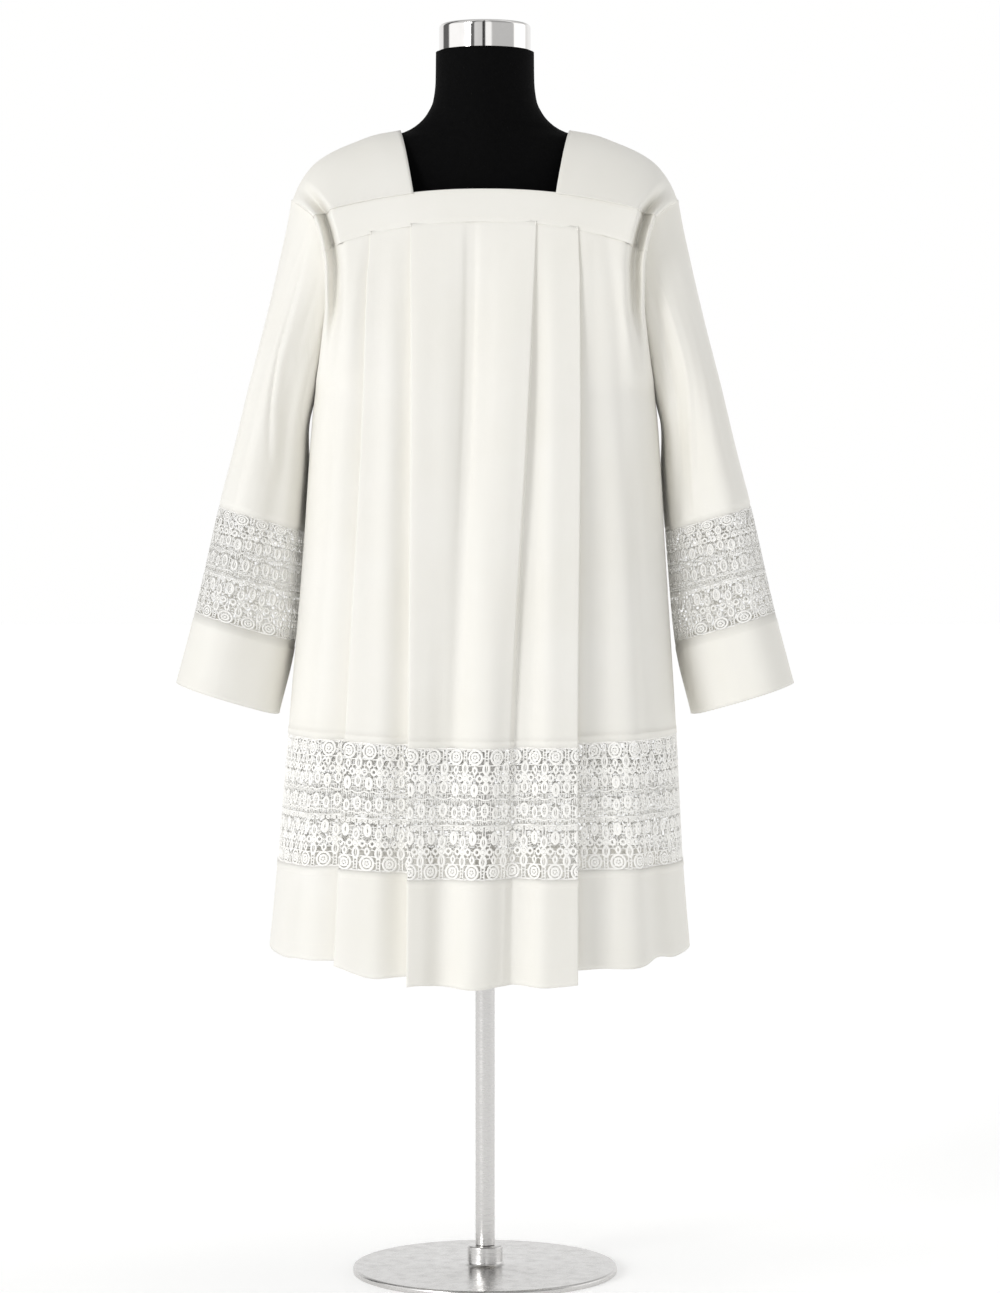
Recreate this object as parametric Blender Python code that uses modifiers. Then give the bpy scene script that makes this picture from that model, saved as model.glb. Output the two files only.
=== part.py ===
"""A square-neck surplice with lace insertions, put over a limbless dress form.

Metres, +Z up, the front faces -Y. The origin is under the middle of the stand.
Each cloth piece is a thin wall: a grid of points, its outer face, with a Solidify modifier.
"""

import math
from bisect import bisect_right
from collections import namedtuple
from functools import lru_cache

import bmesh
import bpy
import numpy as np

# Cloth and seams
CLOTH_WALL = 0.0013
SEAM_GAP = 0.0003
# The lace's columns differ from its neighbours', so its seams are a little wider
LACE_SEAM_GAP = 0.0008
# Where walls meet at an angle their outer edges open wider, so the inner ones stay apart
YOKE_GAP = 0.0013
ARMHOLE_GAP = 0.0008

# Heights at the middle of the front and of the back
UNDERARM_Z = 1.130
LACE_TOP_Z = 0.686
LACE_BOTTOM_Z = 0.527
HEM_Z = 0.398
HEM_MIDDLE_Z = 0.463
FRONT_SEAM_Z = 1.338
YOKE_Z = 1.330
FRONT_NECK_Z = 1.380
BACK_SEAM_Z = 1.368
BACK_NECK_Z = 1.410

# How far rows sink towards the armholes, and rise towards the side seams
FRONT_SEAM_DROP = 0.0350
FRONT_NECK_DROP = 0.0315
BACK_SEAM_DROP = 0.0600
BACK_NECK_DROP = 0.0615
DROP_POWER = 2.2
HEM_RISE = 0.026
LACE_BOTTOM_RISE = 0.008
LACE_TOP_RISE = 0.009

# Square neckline: half-width at its lower corners
NECK_X = 0.0885

# Lace: one repeat, and the gap that is cut through in each of its rows
LACE_REPEAT = 0.028
LACE_GAP_W = 0.0062
LACE_GAP_H = 0.0070
LACE_GAP_CENTRES = (0.18, 0.50, 0.82)
# Cloth left between a gap and a pleat's lip, in columns, and on a sleeve in degrees, where
# the first and the last column also lie a little in from the sides
PLEAT_CLEAR = 0.06
SLEEVE_CLEAR = 0.5
SLEEVE_SIDE = 3.0

# Stand
BASE_R = 0.170
BASE_H = 0.008
POLE_R = 0.0125
CAP_R = 0.0585
CAP_TOP_Z = 1.597
NECK_TOP_Z = 1.5615

# Level rows of the body, from the hem up: half-width at the side seams, depth of the
# front and of the back, sideways shift, and how square the oval is
Level = namedtuple("Level", "z side front back shift square")
BODY = [
    Level(z=0.398, side=0.2715, front=0.240, back=0.232, shift=-0.0070, square=2.3),
    Level(z=0.527, side=0.2600, front=0.218, back=0.210, shift=-0.0060, square=2.3),
    Level(z=0.686, side=0.2490, front=0.193, back=0.186, shift=-0.0035, square=2.4),
    Level(z=0.915, side=0.2320, front=0.163, back=0.156, shift=-0.0010, square=2.5),
    Level(z=1.130, side=0.2166, front=0.137, back=0.128, shift=0.0, square=2.7),
    Level(z=1.280, side=0.2015, front=0.121, back=0.115, shift=0.0, square=3.0),
    Level(z=1.338, side=0.2110, front=0.112, back=0.107, shift=0.0, square=3.0),
    Level(z=1.410, side=0.2160, front=0.094, back=0.088, shift=0.0, square=2.8),
]

# Armhole seam, from the underarm up to the band's upper edge
Edge = namedtuple("Edge", "z side depth")
ARMHOLE = [
    Edge(z=1.1300, side=0.2166, depth=0.0000),
    Edge(z=1.1430, side=0.2145, depth=0.0165),
    Edge(z=1.1650, side=0.2105, depth=0.0310),
    Edge(z=1.2000, side=0.2055, depth=0.0440),
    Edge(z=1.2400, side=0.2015, depth=0.0520),
    Edge(z=1.2810, side=0.2015, depth=0.0550),
    Edge(z=1.3250, side=0.2085, depth=0.0535),
    Edge(z=1.3485, side=0.2160, depth=0.0500),
]

# Top line of the shoulder, from the neckline out to the armhole seam
Ridge = namedtuple("Ridge", "side z")
SHOULDER = [
    Ridge(side=0.108, z=1.4620),
    Ridge(side=0.140, z=1.4560),
    Ridge(side=0.165, z=1.4470),
    Ridge(side=0.195, z=1.4340),
    Ridge(side=0.215, z=1.4210),
    Ridge(side=0.227, z=1.4080),
    Ridge(side=0.237, z=1.3920),
    Ridge(side=0.246, z=1.3710),
]
SHOULDER_ROWS = (1.0, 0.86, 0.66, 0.44, 0.22)

# Trough between the chest and the sleeve: how sharply the surface turns to the seam, how
# far in from the seam the trough's side and bottom lie, and how deep it is at each height
SEAM_REACH = 6.0
TROUGH_CHEST = 0.0250
TROUGH_BOTTOM = 0.0150
TROUGH_HEIGHTS = (1.130, 1.170, 1.260, 1.350)
TROUGH_FRONT = (0.0, 0.008, 0.036, 0.044)
TROUGH_BACK = (0.0, 0.006, 0.028, 0.034)

# Folds, from one side seam to the other. Each is followed from the yoke seam (yoke) past
# the underarm (arm) and the top of the lace (lace) to the hem: x is its place and d its
# depth, outwards. A "knife" row and the next one are the two lips of a pressed pleat.
Fold = namedtuple("Fold", "name kind x_yoke x_arm x_lace x_hem d_yoke d_arm d_lace d_hem lift")
FRONT_FOLDS = [
    Fold("left side ridge", "soft", -0.158, -0.172, -0.205, -0.220, 0.0, 0.003, 0.006, 0.008, 0.008),
    Fold("left pleat under", "knife", -0.1445, -0.149, -0.1685, -0.179, -0.001, -0.006, -0.010, -0.013, 0.013),
    Fold("left pleat lip", "soft", -0.1460, -0.151, -0.1710, -0.182, 0.001, 0.004, 0.007, 0.010, 0.009),
    Fold("left hollow", "soft", -0.122, -0.124, -0.135, -0.140, 0.0, -0.001, 0.001, 0.003, 0.0),
    Fold("second pleat under", "knife", -0.0920, -0.090, -0.0905, -0.090, -0.001, -0.008, -0.014, -0.017, 0.006),
    Fold("second pleat lip", "soft", -0.0936, -0.092, -0.0932, -0.0934, 0.001, 0.005, 0.009, 0.012, -0.004),
    Fold("left centre hollow", "soft", -0.055, -0.056, -0.074, -0.080, 0.0, 0.001, 0.003, 0.005, -0.002),
    Fold("centre valley", "soft", -0.016, -0.020, -0.042, -0.054, -0.0005, -0.006, -0.011, -0.014, -0.003),
    Fold("centre ridge", "soft", 0.024, 0.016, -0.004, -0.014, 0.0, 0.003, 0.007, 0.010, -0.005),
    Fold("third pleat lip", "knife", 0.0649, 0.055, 0.0310, 0.022, 0.001, 0.003, -0.003, -0.008, -0.002),
    Fold("third pleat under", "soft", 0.0640, 0.056, 0.0380, 0.034, -0.001, -0.009, -0.014, -0.015, -0.001),
    Fold("right centre ridge", "soft", 0.086, 0.082, 0.076, 0.072, 0.0, 0.003, 0.007, 0.011, -0.005),
    Fold("fourth pleat lip", "knife", 0.1186, 0.118, 0.1128, 0.1116, 0.001, 0.005, 0.009, 0.012, -0.005),
    Fold("fourth pleat under", "soft", 0.1170, 0.116, 0.1100, 0.108, -0.001, -0.008, -0.014, -0.017, 0.010),
    Fold("right hollow", "soft", 0.132, 0.133, 0.134, 0.136, -0.0005, -0.005, -0.010, -0.013, 0.008),
    Fold("right ridge", "soft", 0.148, 0.158, 0.178, 0.188, 0.0, 0.003, 0.006, 0.008, 0.002),
    Fold("right side valley", "soft", 0.160, 0.175, 0.206, 0.222, 0.0, -0.003, -0.004, -0.005, 0.006),
]
BACK_FOLDS = [
    Fold("right side ridge", "soft", 0.158, 0.172, 0.205, 0.222, 0.0, 0.003, 0.006, 0.008, 0.004),
    Fold("right pleat under", "knife", 0.1335, 0.136, 0.1465, 0.153, -0.001, -0.006, -0.010, -0.013, 0.010),
    Fold("right pleat lip", "soft", 0.1350, 0.138, 0.1490, 0.156, 0.001, 0.004, 0.007, 0.010, 0.006),
    Fold("right hollow", "soft", 0.108, 0.110, 0.116, 0.120, 0.0, -0.001, 0.001, 0.002, 0.0),
    Fold("inner right under", "knife", 0.0725, 0.074, 0.0775, 0.080, -0.001, -0.007, -0.012, -0.015, 0.006),
    Fold("inner right lip", "soft", 0.0740, 0.076, 0.0800, 0.083, 0.001, 0.005, 0.009, 0.011, -0.003),
    Fold("right centre valley", "soft", 0.036, 0.034, 0.042, 0.048, 0.0, -0.003, -0.008, -0.011, -0.002),
    Fold("centre ridge", "soft", 0.004, 0.006, 0.008, 0.006, 0.0, 0.003, 0.006, 0.009, -0.004),
    Fold("left centre valley", "soft", -0.034, -0.038, -0.036, -0.042, 0.0, -0.003, -0.009, -0.011, -0.002),
    Fold("inner left lip", "knife", -0.0740, -0.077, -0.0820, -0.085, 0.001, 0.005, 0.009, 0.011, -0.003),
    Fold("inner left under", "soft", -0.0725, -0.075, -0.0795, -0.082, -0.001, -0.007, -0.012, -0.015, 0.007),
    Fold("left hollow", "soft", -0.106, -0.110, -0.118, -0.122, 0.0, -0.001, 0.0, 0.002, 0.0),
    Fold("left pleat lip", "knife", -0.1350, -0.139, -0.1530, -0.160, 0.001, 0.004, 0.007, 0.010, -0.002),
    Fold("left pleat under", "soft", -0.1335, -0.137, -0.1505, -0.157, -0.001, -0.006, -0.010, -0.013, 0.010),
    Fold("left side ridge", "soft", -0.158, -0.172, -0.205, -0.222, 0.0, 0.003, 0.006, 0.008, 0.004),
]
FOLD_HEIGHTS = (HEM_Z, LACE_TOP_Z, UNDERARM_Z, FRONT_SEAM_Z)
# How much of the folds' lift there is at each height. It runs straight from pleat to pleat,
# and only the hem also waves with the folds between them.
LIFT_HEIGHTS = (HEM_Z, LACE_BOTTOM_Z, LACE_TOP_Z, 0.950, UNDERARM_Z)
LIFT_SHARES = (1.0, 0.65, 0.30, 0.0, 0.0)
WAVE_HEIGHTS = (HEM_Z, HEM_MIDDLE_Z, LACE_BOTTOM_Z - 0.002, UNDERARM_Z)
WAVE_SHARES = (1.0, 0.4, 0.0, 0.0)

# Sleeve sections, from the armhole to the cuff: the outer and the inner line as seen from
# the front, the half-depth, and how far back the inner line is set
Section = namedtuple("Section", "outer_x outer_z inner_x inner_z half_depth set_back blend")
SLEEVE = [
    Section(0.2460, 1.3710, 0.2166, 1.1300, 0.055, 0.000, 0.0),
    Section(0.2530, 1.3300, 0.2200, 1.1180, 0.061, 0.004, 0.3),
    Section(0.2650, 1.2780, 0.2245, 1.0980, 0.067, 0.010, 0.6),
    Section(0.2830, 1.2050, 0.2265, 1.0700, 0.072, 0.020, 0.9),
    Section(0.3008, 1.1354, 0.2275, 1.0330, 0.075, 0.028, 1.0),
    Section(0.3200, 1.0560, 0.2298, 0.9950, 0.078, 0.032, 1.0),
    Section(0.3392, 0.9830, 0.2332, 0.9520, 0.081, 0.032, 1.0),
    Section(0.3700, 0.8500, 0.2450, 0.8120, 0.084, 0.030, 1.0),
    Section(0.3942, 0.7590, 0.2662, 0.7180, 0.085, 0.026, 1.0),
]
SLEEVE_LACE_TOP = 6.0
SLEEVE_LACE_BOTTOM = 7.0
SLEEVE_CUFF = 8.0

# Long soft folds of the sleeve: angle round it from the outer line over the front, and
# depth at the armhole, halfway and at the cuff
SleeveFold = namedtuple("SleeveFold", "name angle width d_top d_middle d_cuff")
SLEEVE_FOLDS = [
    SleeveFold("outer crease", 42.0, 16.0, -0.003, -0.004, -0.001),
    SleeveFold("front ridge", 72.0, 20.0, 0.004, 0.004, 0.002),
    SleeveFold("front trough", 108.0, 20.0, -0.005, -0.007, -0.003),
    SleeveFold("inner ridge", 140.0, 18.0, 0.001, 0.003, 0.002),
    SleeveFold("back trough", 250.0, 22.0, -0.004, -0.006, -0.003),
    SleeveFold("back ridge", 290.0, 20.0, 0.003, 0.004, 0.002),
]

# Dress form, from its underside to the neck
Ring = namedtuple("Ring", "z side front back square")
FORM = [
    Ring(0.780, 0.166, 0.110, 0.106, 2.1),
    Ring(0.786, 0.171, 0.114, 0.110, 2.1),
    Ring(0.860, 0.171, 0.113, 0.109, 2.1),
    Ring(0.940, 0.158, 0.106, 0.100, 2.1),
    Ring(1.020, 0.148, 0.101, 0.090, 2.1),
    Ring(1.110, 0.158, 0.107, 0.095, 2.1),
    Ring(1.200, 0.166, 0.108, 0.099, 2.1),
    Ring(1.280, 0.173, 0.102, 0.098, 2.1),
    Ring(1.330, 0.182, 0.093, 0.091, 2.0),
    Ring(1.370, 0.190, 0.085, 0.083, 1.8),
    Ring(1.400, 0.194, 0.078, 0.077, 1.6),
    Ring(1.4198, 0.1925, 0.074, 0.073, 1.45),
    Ring(1.4309, 0.1850, 0.071, 0.071, 1.35),
    Ring(1.4432, 0.1640, 0.069, 0.069, 1.3),
    Ring(1.4528, 0.1390, 0.068, 0.067, 1.3),
    Ring(1.4589, 0.1070, 0.067, 0.066, 1.4),
    Ring(1.4700, 0.0860, 0.066, 0.065, 1.7),
    Ring(1.4830, 0.0740, 0.064, 0.063, 1.9),
    Ring(1.5000, 0.0660, 0.062, 0.062, 2.0),
    Ring(1.5250, 0.0630, 0.061, 0.061, 2.0),
    Ring(NECK_TOP_Z, 0.0625, 0.0605, 0.0605, 2.0),
]
FORM_SIDES = 28

# Rows of the panels: shares of the way from the underarm up to the yoke seam, then heights
PANEL_STEPS = (1.0, 0.77, 0.577, 0.36, 0.168, 0.0625, 0.0)
SKIRT_Z = (1.02, 0.90, 0.79)
# Columns of the panels between the seam and the trough, as shares of the way
EDGE_STEPS = (0.08, 0.36, 0.68)
# Columns of the yoke: beside the middle, over the shoulder, and in from the armhole seam
YOKE_MIDDLE_X = (0.030, 0.060)
YOKE_SHOULDER_X = (NECK_X, 0.110, 0.130, 0.150)
YOKE_INSETS = (TROUGH_CHEST + 0.008, TROUGH_CHEST, TROUGH_BOTTOM, 0.010, 0.005, 0.0015, 0.0)

FRONT, BACK = -1, 1


def smooth(xs, ys):
    """A smooth curve through the points that keeps their rises and falls, as a function."""
    xs = [float(x) for x in xs]
    steps = np.diff(xs)
    slopes = np.diff(ys) / steps
    leans = [slopes[0]]
    for i in range(1, len(xs) - 1):
        before, after = slopes[i - 1], slopes[i]
        if before * after <= 0.0:
            leans.append(0.0)
        else:
            a, b = 2.0 * steps[i] + steps[i - 1], steps[i] + 2.0 * steps[i - 1]
            leans.append((a + b) / (a / before + b / after))
    leans.append(slopes[-1])

    def value(x):
        x = min(max(x, xs[0]), xs[-1])
        i = min(bisect_right(xs, x) - 1, len(steps) - 1)
        t = (x - xs[i]) / steps[i]
        low = (1.0 + 2.0 * t) * (1.0 - t) ** 2 * ys[i] + t * (1.0 - t) ** 2 * steps[i] * leans[i]
        high = t * t * (3.0 - 2.0 * t) * ys[i + 1] + t * t * (t - 1.0) * steps[i] * leans[i + 1]
        return float(low + high)

    return value


def column_curve(rows, column):
    return smooth([r.z for r in rows], [getattr(r, column) for r in rows])


def ease(t):
    return t * t * (3.0 - 2.0 * t)


# The seam at the side is the side seam below the underarm and the armhole above it
SIDE_ROWS = [r for r in BODY if r.z < UNDERARM_Z] + ARMHOLE
edge_side = column_curve(SIDE_ROWS, "side")
edge_depth = smooth([HEM_Z] + [r.z for r in ARMHOLE], [0.0] + [r.depth for r in ARMHOLE])
body_shift = column_curve(BODY, "shift")
body_square = column_curve(BODY, "square")
body_bulge = {FRONT: column_curve(BODY, "front"), BACK: column_curve(BODY, "back")}
trough_depth = {
    FRONT: smooth(TROUGH_HEIGHTS, TROUGH_FRONT),
    BACK: smooth(TROUGH_HEIGHTS, TROUGH_BACK),
}
row_drop = {
    FRONT: smooth(
        (HEM_Z, UNDERARM_Z, FRONT_SEAM_Z, FRONT_NECK_Z), (0.0, 0.0, FRONT_SEAM_DROP, FRONT_NECK_DROP)
    ),
    BACK: smooth(
        (HEM_Z, UNDERARM_Z, BACK_SEAM_Z, BACK_NECK_Z), (0.0, 0.0, BACK_SEAM_DROP, BACK_NECK_DROP)
    ),
}
row_rise = smooth(
    (HEM_Z, LACE_BOTTOM_Z, LACE_TOP_Z, UNDERARM_Z), (HEM_RISE, LACE_BOTTOM_RISE, LACE_TOP_RISE, 0.0)
)
lift_share = smooth(LIFT_HEIGHTS, LIFT_SHARES)
wave_share = smooth(WAVE_HEIGHTS, WAVE_SHARES)


def seam_z(face, reach, mid_z):
    """Height of a row at a sideways reach (0 middle, 1 seam) from its height in the middle."""
    return mid_z - row_drop[face](mid_z) * reach ** DROP_POWER + row_rise(mid_z) * reach ** 2


def oval_turn(z, x):
    """Turn (-1 to 1) at which the level row at z passes x."""
    reach = (x - body_shift(z)) / edge_side(z)
    reach = max(-1.0, min(1.0, reach))
    turn = math.asin(abs(reach) ** (body_square(z) / 2.0)) * 2.0 / math.pi
    return math.copysign(turn, reach)


def oval_point(face, turn, z):
    """Plain body surface: a point of the level row, and its reach to the side."""
    power = 2.0 / body_square(z)
    angle = turn * math.pi / 2.0
    reach = math.copysign(abs(math.sin(angle)) ** power, turn)
    out = body_bulge[face](z) * abs(math.cos(angle)) ** power
    out += edge_depth(z) * abs(reach) ** SEAM_REACH
    return np.array([body_shift(z) + edge_side(z) * reach, face * out, z])


def oval_normal(face, turn, z):
    step = 0.02
    before = oval_point(face, max(-1.0, turn - step), z)
    after = oval_point(face, min(1.0, turn + step), z)
    along = after - before
    normal = np.array([along[1], -along[0], 0.0]) * -face
    return normal / np.linalg.norm(normal)


def trough_push(face, x, z):
    """How far the trough beside the sleeve pulls the cloth back at x."""
    inset = edge_side(z) - abs(x - body_shift(z))
    depth = trough_depth[face](z)
    if inset >= TROUGH_CHEST:
        return 0.0
    if inset >= TROUGH_BOTTOM:
        return depth * ease((TROUGH_CHEST - inset) / (TROUGH_CHEST - TROUGH_BOTTOM))
    return depth * ease(inset / TROUGH_BOTTOM)


def smooth_point(face, turn, mid_z):
    """Point of the unpleated yoke."""
    reach = abs(math.sin(turn * math.pi / 2.0)) ** (2.0 / body_square(mid_z))
    z = seam_z(face, reach, mid_z)
    point = oval_point(face, turn, z)
    point[1] -= face * trough_push(face, point[0], z)
    return point


Station = namedtuple("Station", "kind value place depth lift")


def level_line(z):
    return 0.0


def plain_station(kind, value):
    return Station(kind, value, level_line, level_line, 0.0)


def fold_station(fold):
    places = (fold.x_hem, fold.x_lace, fold.x_arm, fold.x_yoke)
    depths = (fold.d_hem, fold.d_lace, fold.d_arm, fold.d_yoke)
    return Station(
        fold.kind, 0.0, smooth(FOLD_HEIGHTS, places), smooth(FOLD_HEIGHTS, depths), fold.lift
    )


def face_stations(side, folds):
    """Folds of a face, between the plain columns that the seams and the troughs need."""
    rows = [plain_station("edge", side)]
    rows += [plain_station("inset", side * TROUGH_BOTTOM), plain_station("inset", side * TROUGH_CHEST)]
    rows += [fold_station(fold) for fold in folds]
    rows += [plain_station("inset", -side * TROUGH_CHEST), plain_station("inset", -side * TROUGH_BOTTOM)]
    rows += [plain_station("edge", -side)]
    return rows


STATIONS = {FRONT: face_stations(-1, FRONT_FOLDS), BACK: face_stations(1, BACK_FOLDS)}


def station_turn(station, z):
    if station.kind == "edge":
        return float(station.value)
    if station.kind == "inset":
        away = edge_side(z) - abs(station.value)
        return oval_turn(z, body_shift(z) + math.copysign(away, station.value))
    return oval_turn(z, station.place(z))


def level_point(face, column, mid_z):
    """Point of the pleated body on its level row. The column counts stations."""
    rows = STATIONS[face]
    i = min(int(column), len(rows) - 2)
    f = column - i
    before, after = rows[i], rows[i + 1]
    g = f if before.kind == "knife" else ease(f)
    turn = (1.0 - f) * station_turn(before, mid_z) + f * station_turn(after, mid_z)
    depth = (1.0 - g) * before.depth(mid_z) + g * after.depth(mid_z)
    reach = abs(math.sin(turn * math.pi / 2.0)) ** (2.0 / body_square(mid_z))
    z = seam_z(face, reach, mid_z)
    point = oval_point(face, turn, z)
    push = trough_push(face, point[0], z)
    point = point + depth * oval_normal(face, turn, z)
    point[1] -= face * push
    return point


@lru_cache(maxsize=None)
def pleat_columns(face, mid_z):
    """Columns of the sides and of the pleats' lips, with the x of each on a row."""
    rows = STATIONS[face]
    columns = {0, len(rows) - 1}
    for i, station in enumerate(rows):
        if station.kind == "knife":
            columns |= {i, i + 1}
    columns = sorted(columns)
    return columns, [level_point(face, c, mid_z)[0] for c in columns]


def body_point(face, column, mid_z):
    """Point of the pleated body, with its row lifted by the pleats."""
    rows = STATIONS[face]
    point = level_point(face, column, mid_z)
    columns, xs = pleat_columns(face, mid_z)
    k = min(bisect_right(columns, column), len(columns) - 1)
    way = (point[0] - xs[k - 1]) / (xs[k] - xs[k - 1])
    way = min(max(way, 0.0), 1.0)
    straight = (1.0 - way) * rows[columns[k - 1]].lift + way * rows[columns[k]].lift
    i = min(int(column), len(rows) - 2)
    g = ease(column - i)
    waving = (1.0 - g) * rows[i].lift + g * rows[i + 1].lift
    point[2] += straight * lift_share(mid_z) + (waving - straight) * wave_share(mid_z)
    return point


def body_columns(face):
    """Columns of the panels: each station, points between soft ones, strips at the seams."""
    rows = STATIONS[face]
    last = len(rows) - 1
    columns = [0.0]
    for i in range(last):
        if i == 0:
            columns += list(EDGE_STEPS) + [1.0]
        elif i == last - 1:
            columns += [i + 1.0 - step for step in reversed(EDGE_STEPS)] + [i + 1.0]
        elif rows[i].kind == "knife" or i == 1 or i == last - 2:
            columns += [i + 1.0]
        else:
            columns += [i + 0.5, i + 1.0]
    return columns


def shoulder_turns():
    """Turns of the yoke's columns, from the neckline's corner out to the armhole."""
    places = list(YOKE_SHOULDER_X) + [edge_side(YOKE_Z) - inset for inset in YOKE_INSETS]
    return [oval_turn(YOKE_Z, x) for x in places]


def yoke_turns():
    """Turns of the bands' columns, from the left seam to the right one."""
    half = [oval_turn(YOKE_Z, x) for x in YOKE_MIDDLE_X] + shoulder_turns()
    return [-t for t in reversed(half)] + [0.0] + half


def part_collection():
    collection = bpy.data.collections.new("surplice_on_dress_form")
    bpy.context.scene.collection.children.link(collection)
    return collection


def material(name, colour, roughness, metallic=0.0):
    made = bpy.data.materials.new(name)
    made.use_nodes = True
    shader = made.node_tree.nodes["Principled BSDF"]
    shader.inputs["Base Color"].default_value = (*colour, 1.0)
    shader.inputs["Roughness"].default_value = roughness
    shader.inputs["Metallic"].default_value = metallic
    return made


IVORY = (0.91, 0.89, 0.82)
LACE_IVORY = (0.90, 0.87, 0.79)
JERSEY_BLACK = (0.010, 0.010, 0.011)
STEEL = (0.62, 0.61, 0.60)


def place(obj, collection, colour, roughness, metallic=0.0):
    obj.data.materials.append(material(obj.name + "_finish", colour, roughness, metallic))
    collection.objects.link(obj)
    return obj


def grid_mesh(name, rows, ring=False, left_out=(), flip=False):
    """Mesh of a grid of points, row by row; quads named in left_out stay open."""
    mesh = bpy.data.meshes.new(name)
    bm = bmesh.new()
    verts = [[bm.verts.new(p) for p in row] for row in rows]
    count = len(rows[0])
    steps = count if ring else count - 1
    for r in range(len(rows) - 1):
        for c in range(steps):
            if (r, c) in left_out:
                continue
            d = (c + 1) % count
            quad = [verts[r][c], verts[r + 1][c], verts[r + 1][d], verts[r][d]]
            bm.faces.new(reversed(quad) if flip else quad)
    loose = [v for v in bm.verts if not v.link_faces]
    bmesh.ops.delete(bm, geom=loose, context="VERTS")
    bm.to_mesh(mesh)
    bm.free()
    mesh.shade_smooth()
    return mesh


def cloth(name, collection, rows, colour=IVORY, ring=False, left_out=(), flip=False):
    """A cloth piece: its outer face as a grid, made a wall on the inner side."""
    mesh = grid_mesh(name, rows, ring, left_out, flip)
    obj = bpy.data.objects.new(name, mesh)
    wall = obj.modifiers.new("wall", "SOLIDIFY")
    wall.thickness = CLOTH_WALL
    wall.offset = -1.0
    wall.use_rim = True
    return place(obj, collection, colour, 0.85)


def part_at_seams(face, rows, side_seam):
    """Open the seam at both side edges by half a gap where front and back meet."""
    for row in rows:
        for c in (0, -1):
            if side_seam(row[c]):
                row[c] = row[c] + np.array([0.0, face * SEAM_GAP / 2.0, 0.0])
    return rows


def under_armhole(point):
    return point[2] <= UNDERARM_Z + 0.001


def make_panel(face, name, collection):
    seam = FRONT_SEAM_Z if face == FRONT else BACK_SEAM_Z
    heights = [UNDERARM_Z + s * (seam - UNDERARM_Z) for s in PANEL_STEPS] + list(SKIRT_Z)
    heights[0] -= YOKE_GAP / 2.0
    heights.append(LACE_TOP_Z + LACE_SEAM_GAP / 2.0)
    columns = body_columns(face)
    rows = [[body_point(face, c, z) for c in columns] for z in heights]
    cloth(name, collection, part_at_seams(face, rows, under_armhole))


def make_hem(face, name, collection):
    columns = body_columns(face)
    heights = (LACE_BOTTOM_Z - LACE_SEAM_GAP / 2.0, HEM_MIDDLE_Z, HEM_Z)
    rows = [[body_point(face, c, z) for c in columns] for z in heights]
    cloth(name, collection, part_at_seams(face, rows, under_armhole))


def lace_columns(points, keys, length_of, clear):
    """Columns of a lace strip: the two sides of each repeat's gap, and the key columns.

    A repeat with a key column in it, or closer to it than clear, has no gap.
    """
    walked = np.concatenate([[0.0], np.cumsum(np.linalg.norm(np.diff(points, axis=0), axis=1))])
    count = int(round(walked[-1] / LACE_REPEAT))
    pitch = walked[-1] / count
    columns = [(length_of[0], False), (length_of[-1], False)]
    for i in range(count):
        middle = (i + 0.5) * pitch
        sides = [middle - LACE_GAP_W / 2.0, middle + LACE_GAP_W / 2.0]
        low, high = np.interp(sides, walked, length_of)
        if any(low - clear < k < high + clear for k in keys):
            continue
        columns += [(low, True), (high, False)]
    columns += [(k, False) for k in keys]
    return sorted(columns)


def lace_heights():
    """Places of the rows of a lace strip (0 bottom, 1 top), and which of them hold gaps."""
    half = LACE_GAP_H / 2.0 / (LACE_TOP_Z - LACE_BOTTOM_Z)
    places, gap_rows = [1.0], set()
    for centre in sorted(LACE_GAP_CENTRES, reverse=True):
        gap_rows.add(len(places))
        places += [centre + half, centre - half]
    return places + [0.0], gap_rows


def make_body_lace(face, name, collection):
    last = len(STATIONS[face]) - 1
    middle_z = (LACE_TOP_Z + LACE_BOTTOM_Z) / 2.0
    samples = np.linspace(0.0, last, 60 * last + 1)
    path = [body_point(face, s, middle_z) for s in samples]
    keys = [EDGE_STEPS[0], last - EDGE_STEPS[0]]
    for i, station in enumerate(STATIONS[face]):
        if station.kind == "knife":
            keys += [float(i), float(i + 1)]
    columns = lace_columns(np.array(path), keys, samples, PLEAT_CLEAR)
    places, gap_rows = lace_heights()
    low = LACE_BOTTOM_Z + LACE_SEAM_GAP / 2.0
    high = LACE_TOP_Z - LACE_SEAM_GAP / 2.0
    rows = [[body_point(face, c, low + p * (high - low)) for c, _ in columns] for p in places]
    holes = {(r, c) for r in gap_rows for c, (_, gap) in enumerate(columns) if gap}
    rows = part_at_seams(face, rows, under_armhole)
    cloth(name, collection, rows, colour=LACE_IVORY, left_out=holes)
    return len(holes)


def make_band(face, name, collection):
    low, high = (FRONT_SEAM_Z, FRONT_NECK_Z) if face == FRONT else (BACK_SEAM_Z, BACK_NECK_Z)
    turns = yoke_turns()
    if face == BACK:
        turns = [-t for t in turns]
    heights = [high - YOKE_GAP / 2.0, (low + high) / 2.0, low + YOKE_GAP / 2.0]
    rows = [[smooth_point(face, t, z) for t in turns] for z in heights]
    cloth(name, collection, rows)


def ridge_curves():
    """x and z of the shoulder's top line, by the share of its length."""
    sides = [r.side for r in SHOULDER]
    heights = [r.z for r in SHOULDER]
    steps = np.hypot(np.diff(sides), np.diff(heights))
    walked = np.concatenate([[0.0], np.cumsum(steps)]) / steps.sum()
    return smooth(walked, sides), smooth(walked, heights)


ridge_x, ridge_z = ridge_curves()


def ridge_point(v):
    return np.array([ridge_x(v), 0.0, ridge_z(v)])


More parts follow.
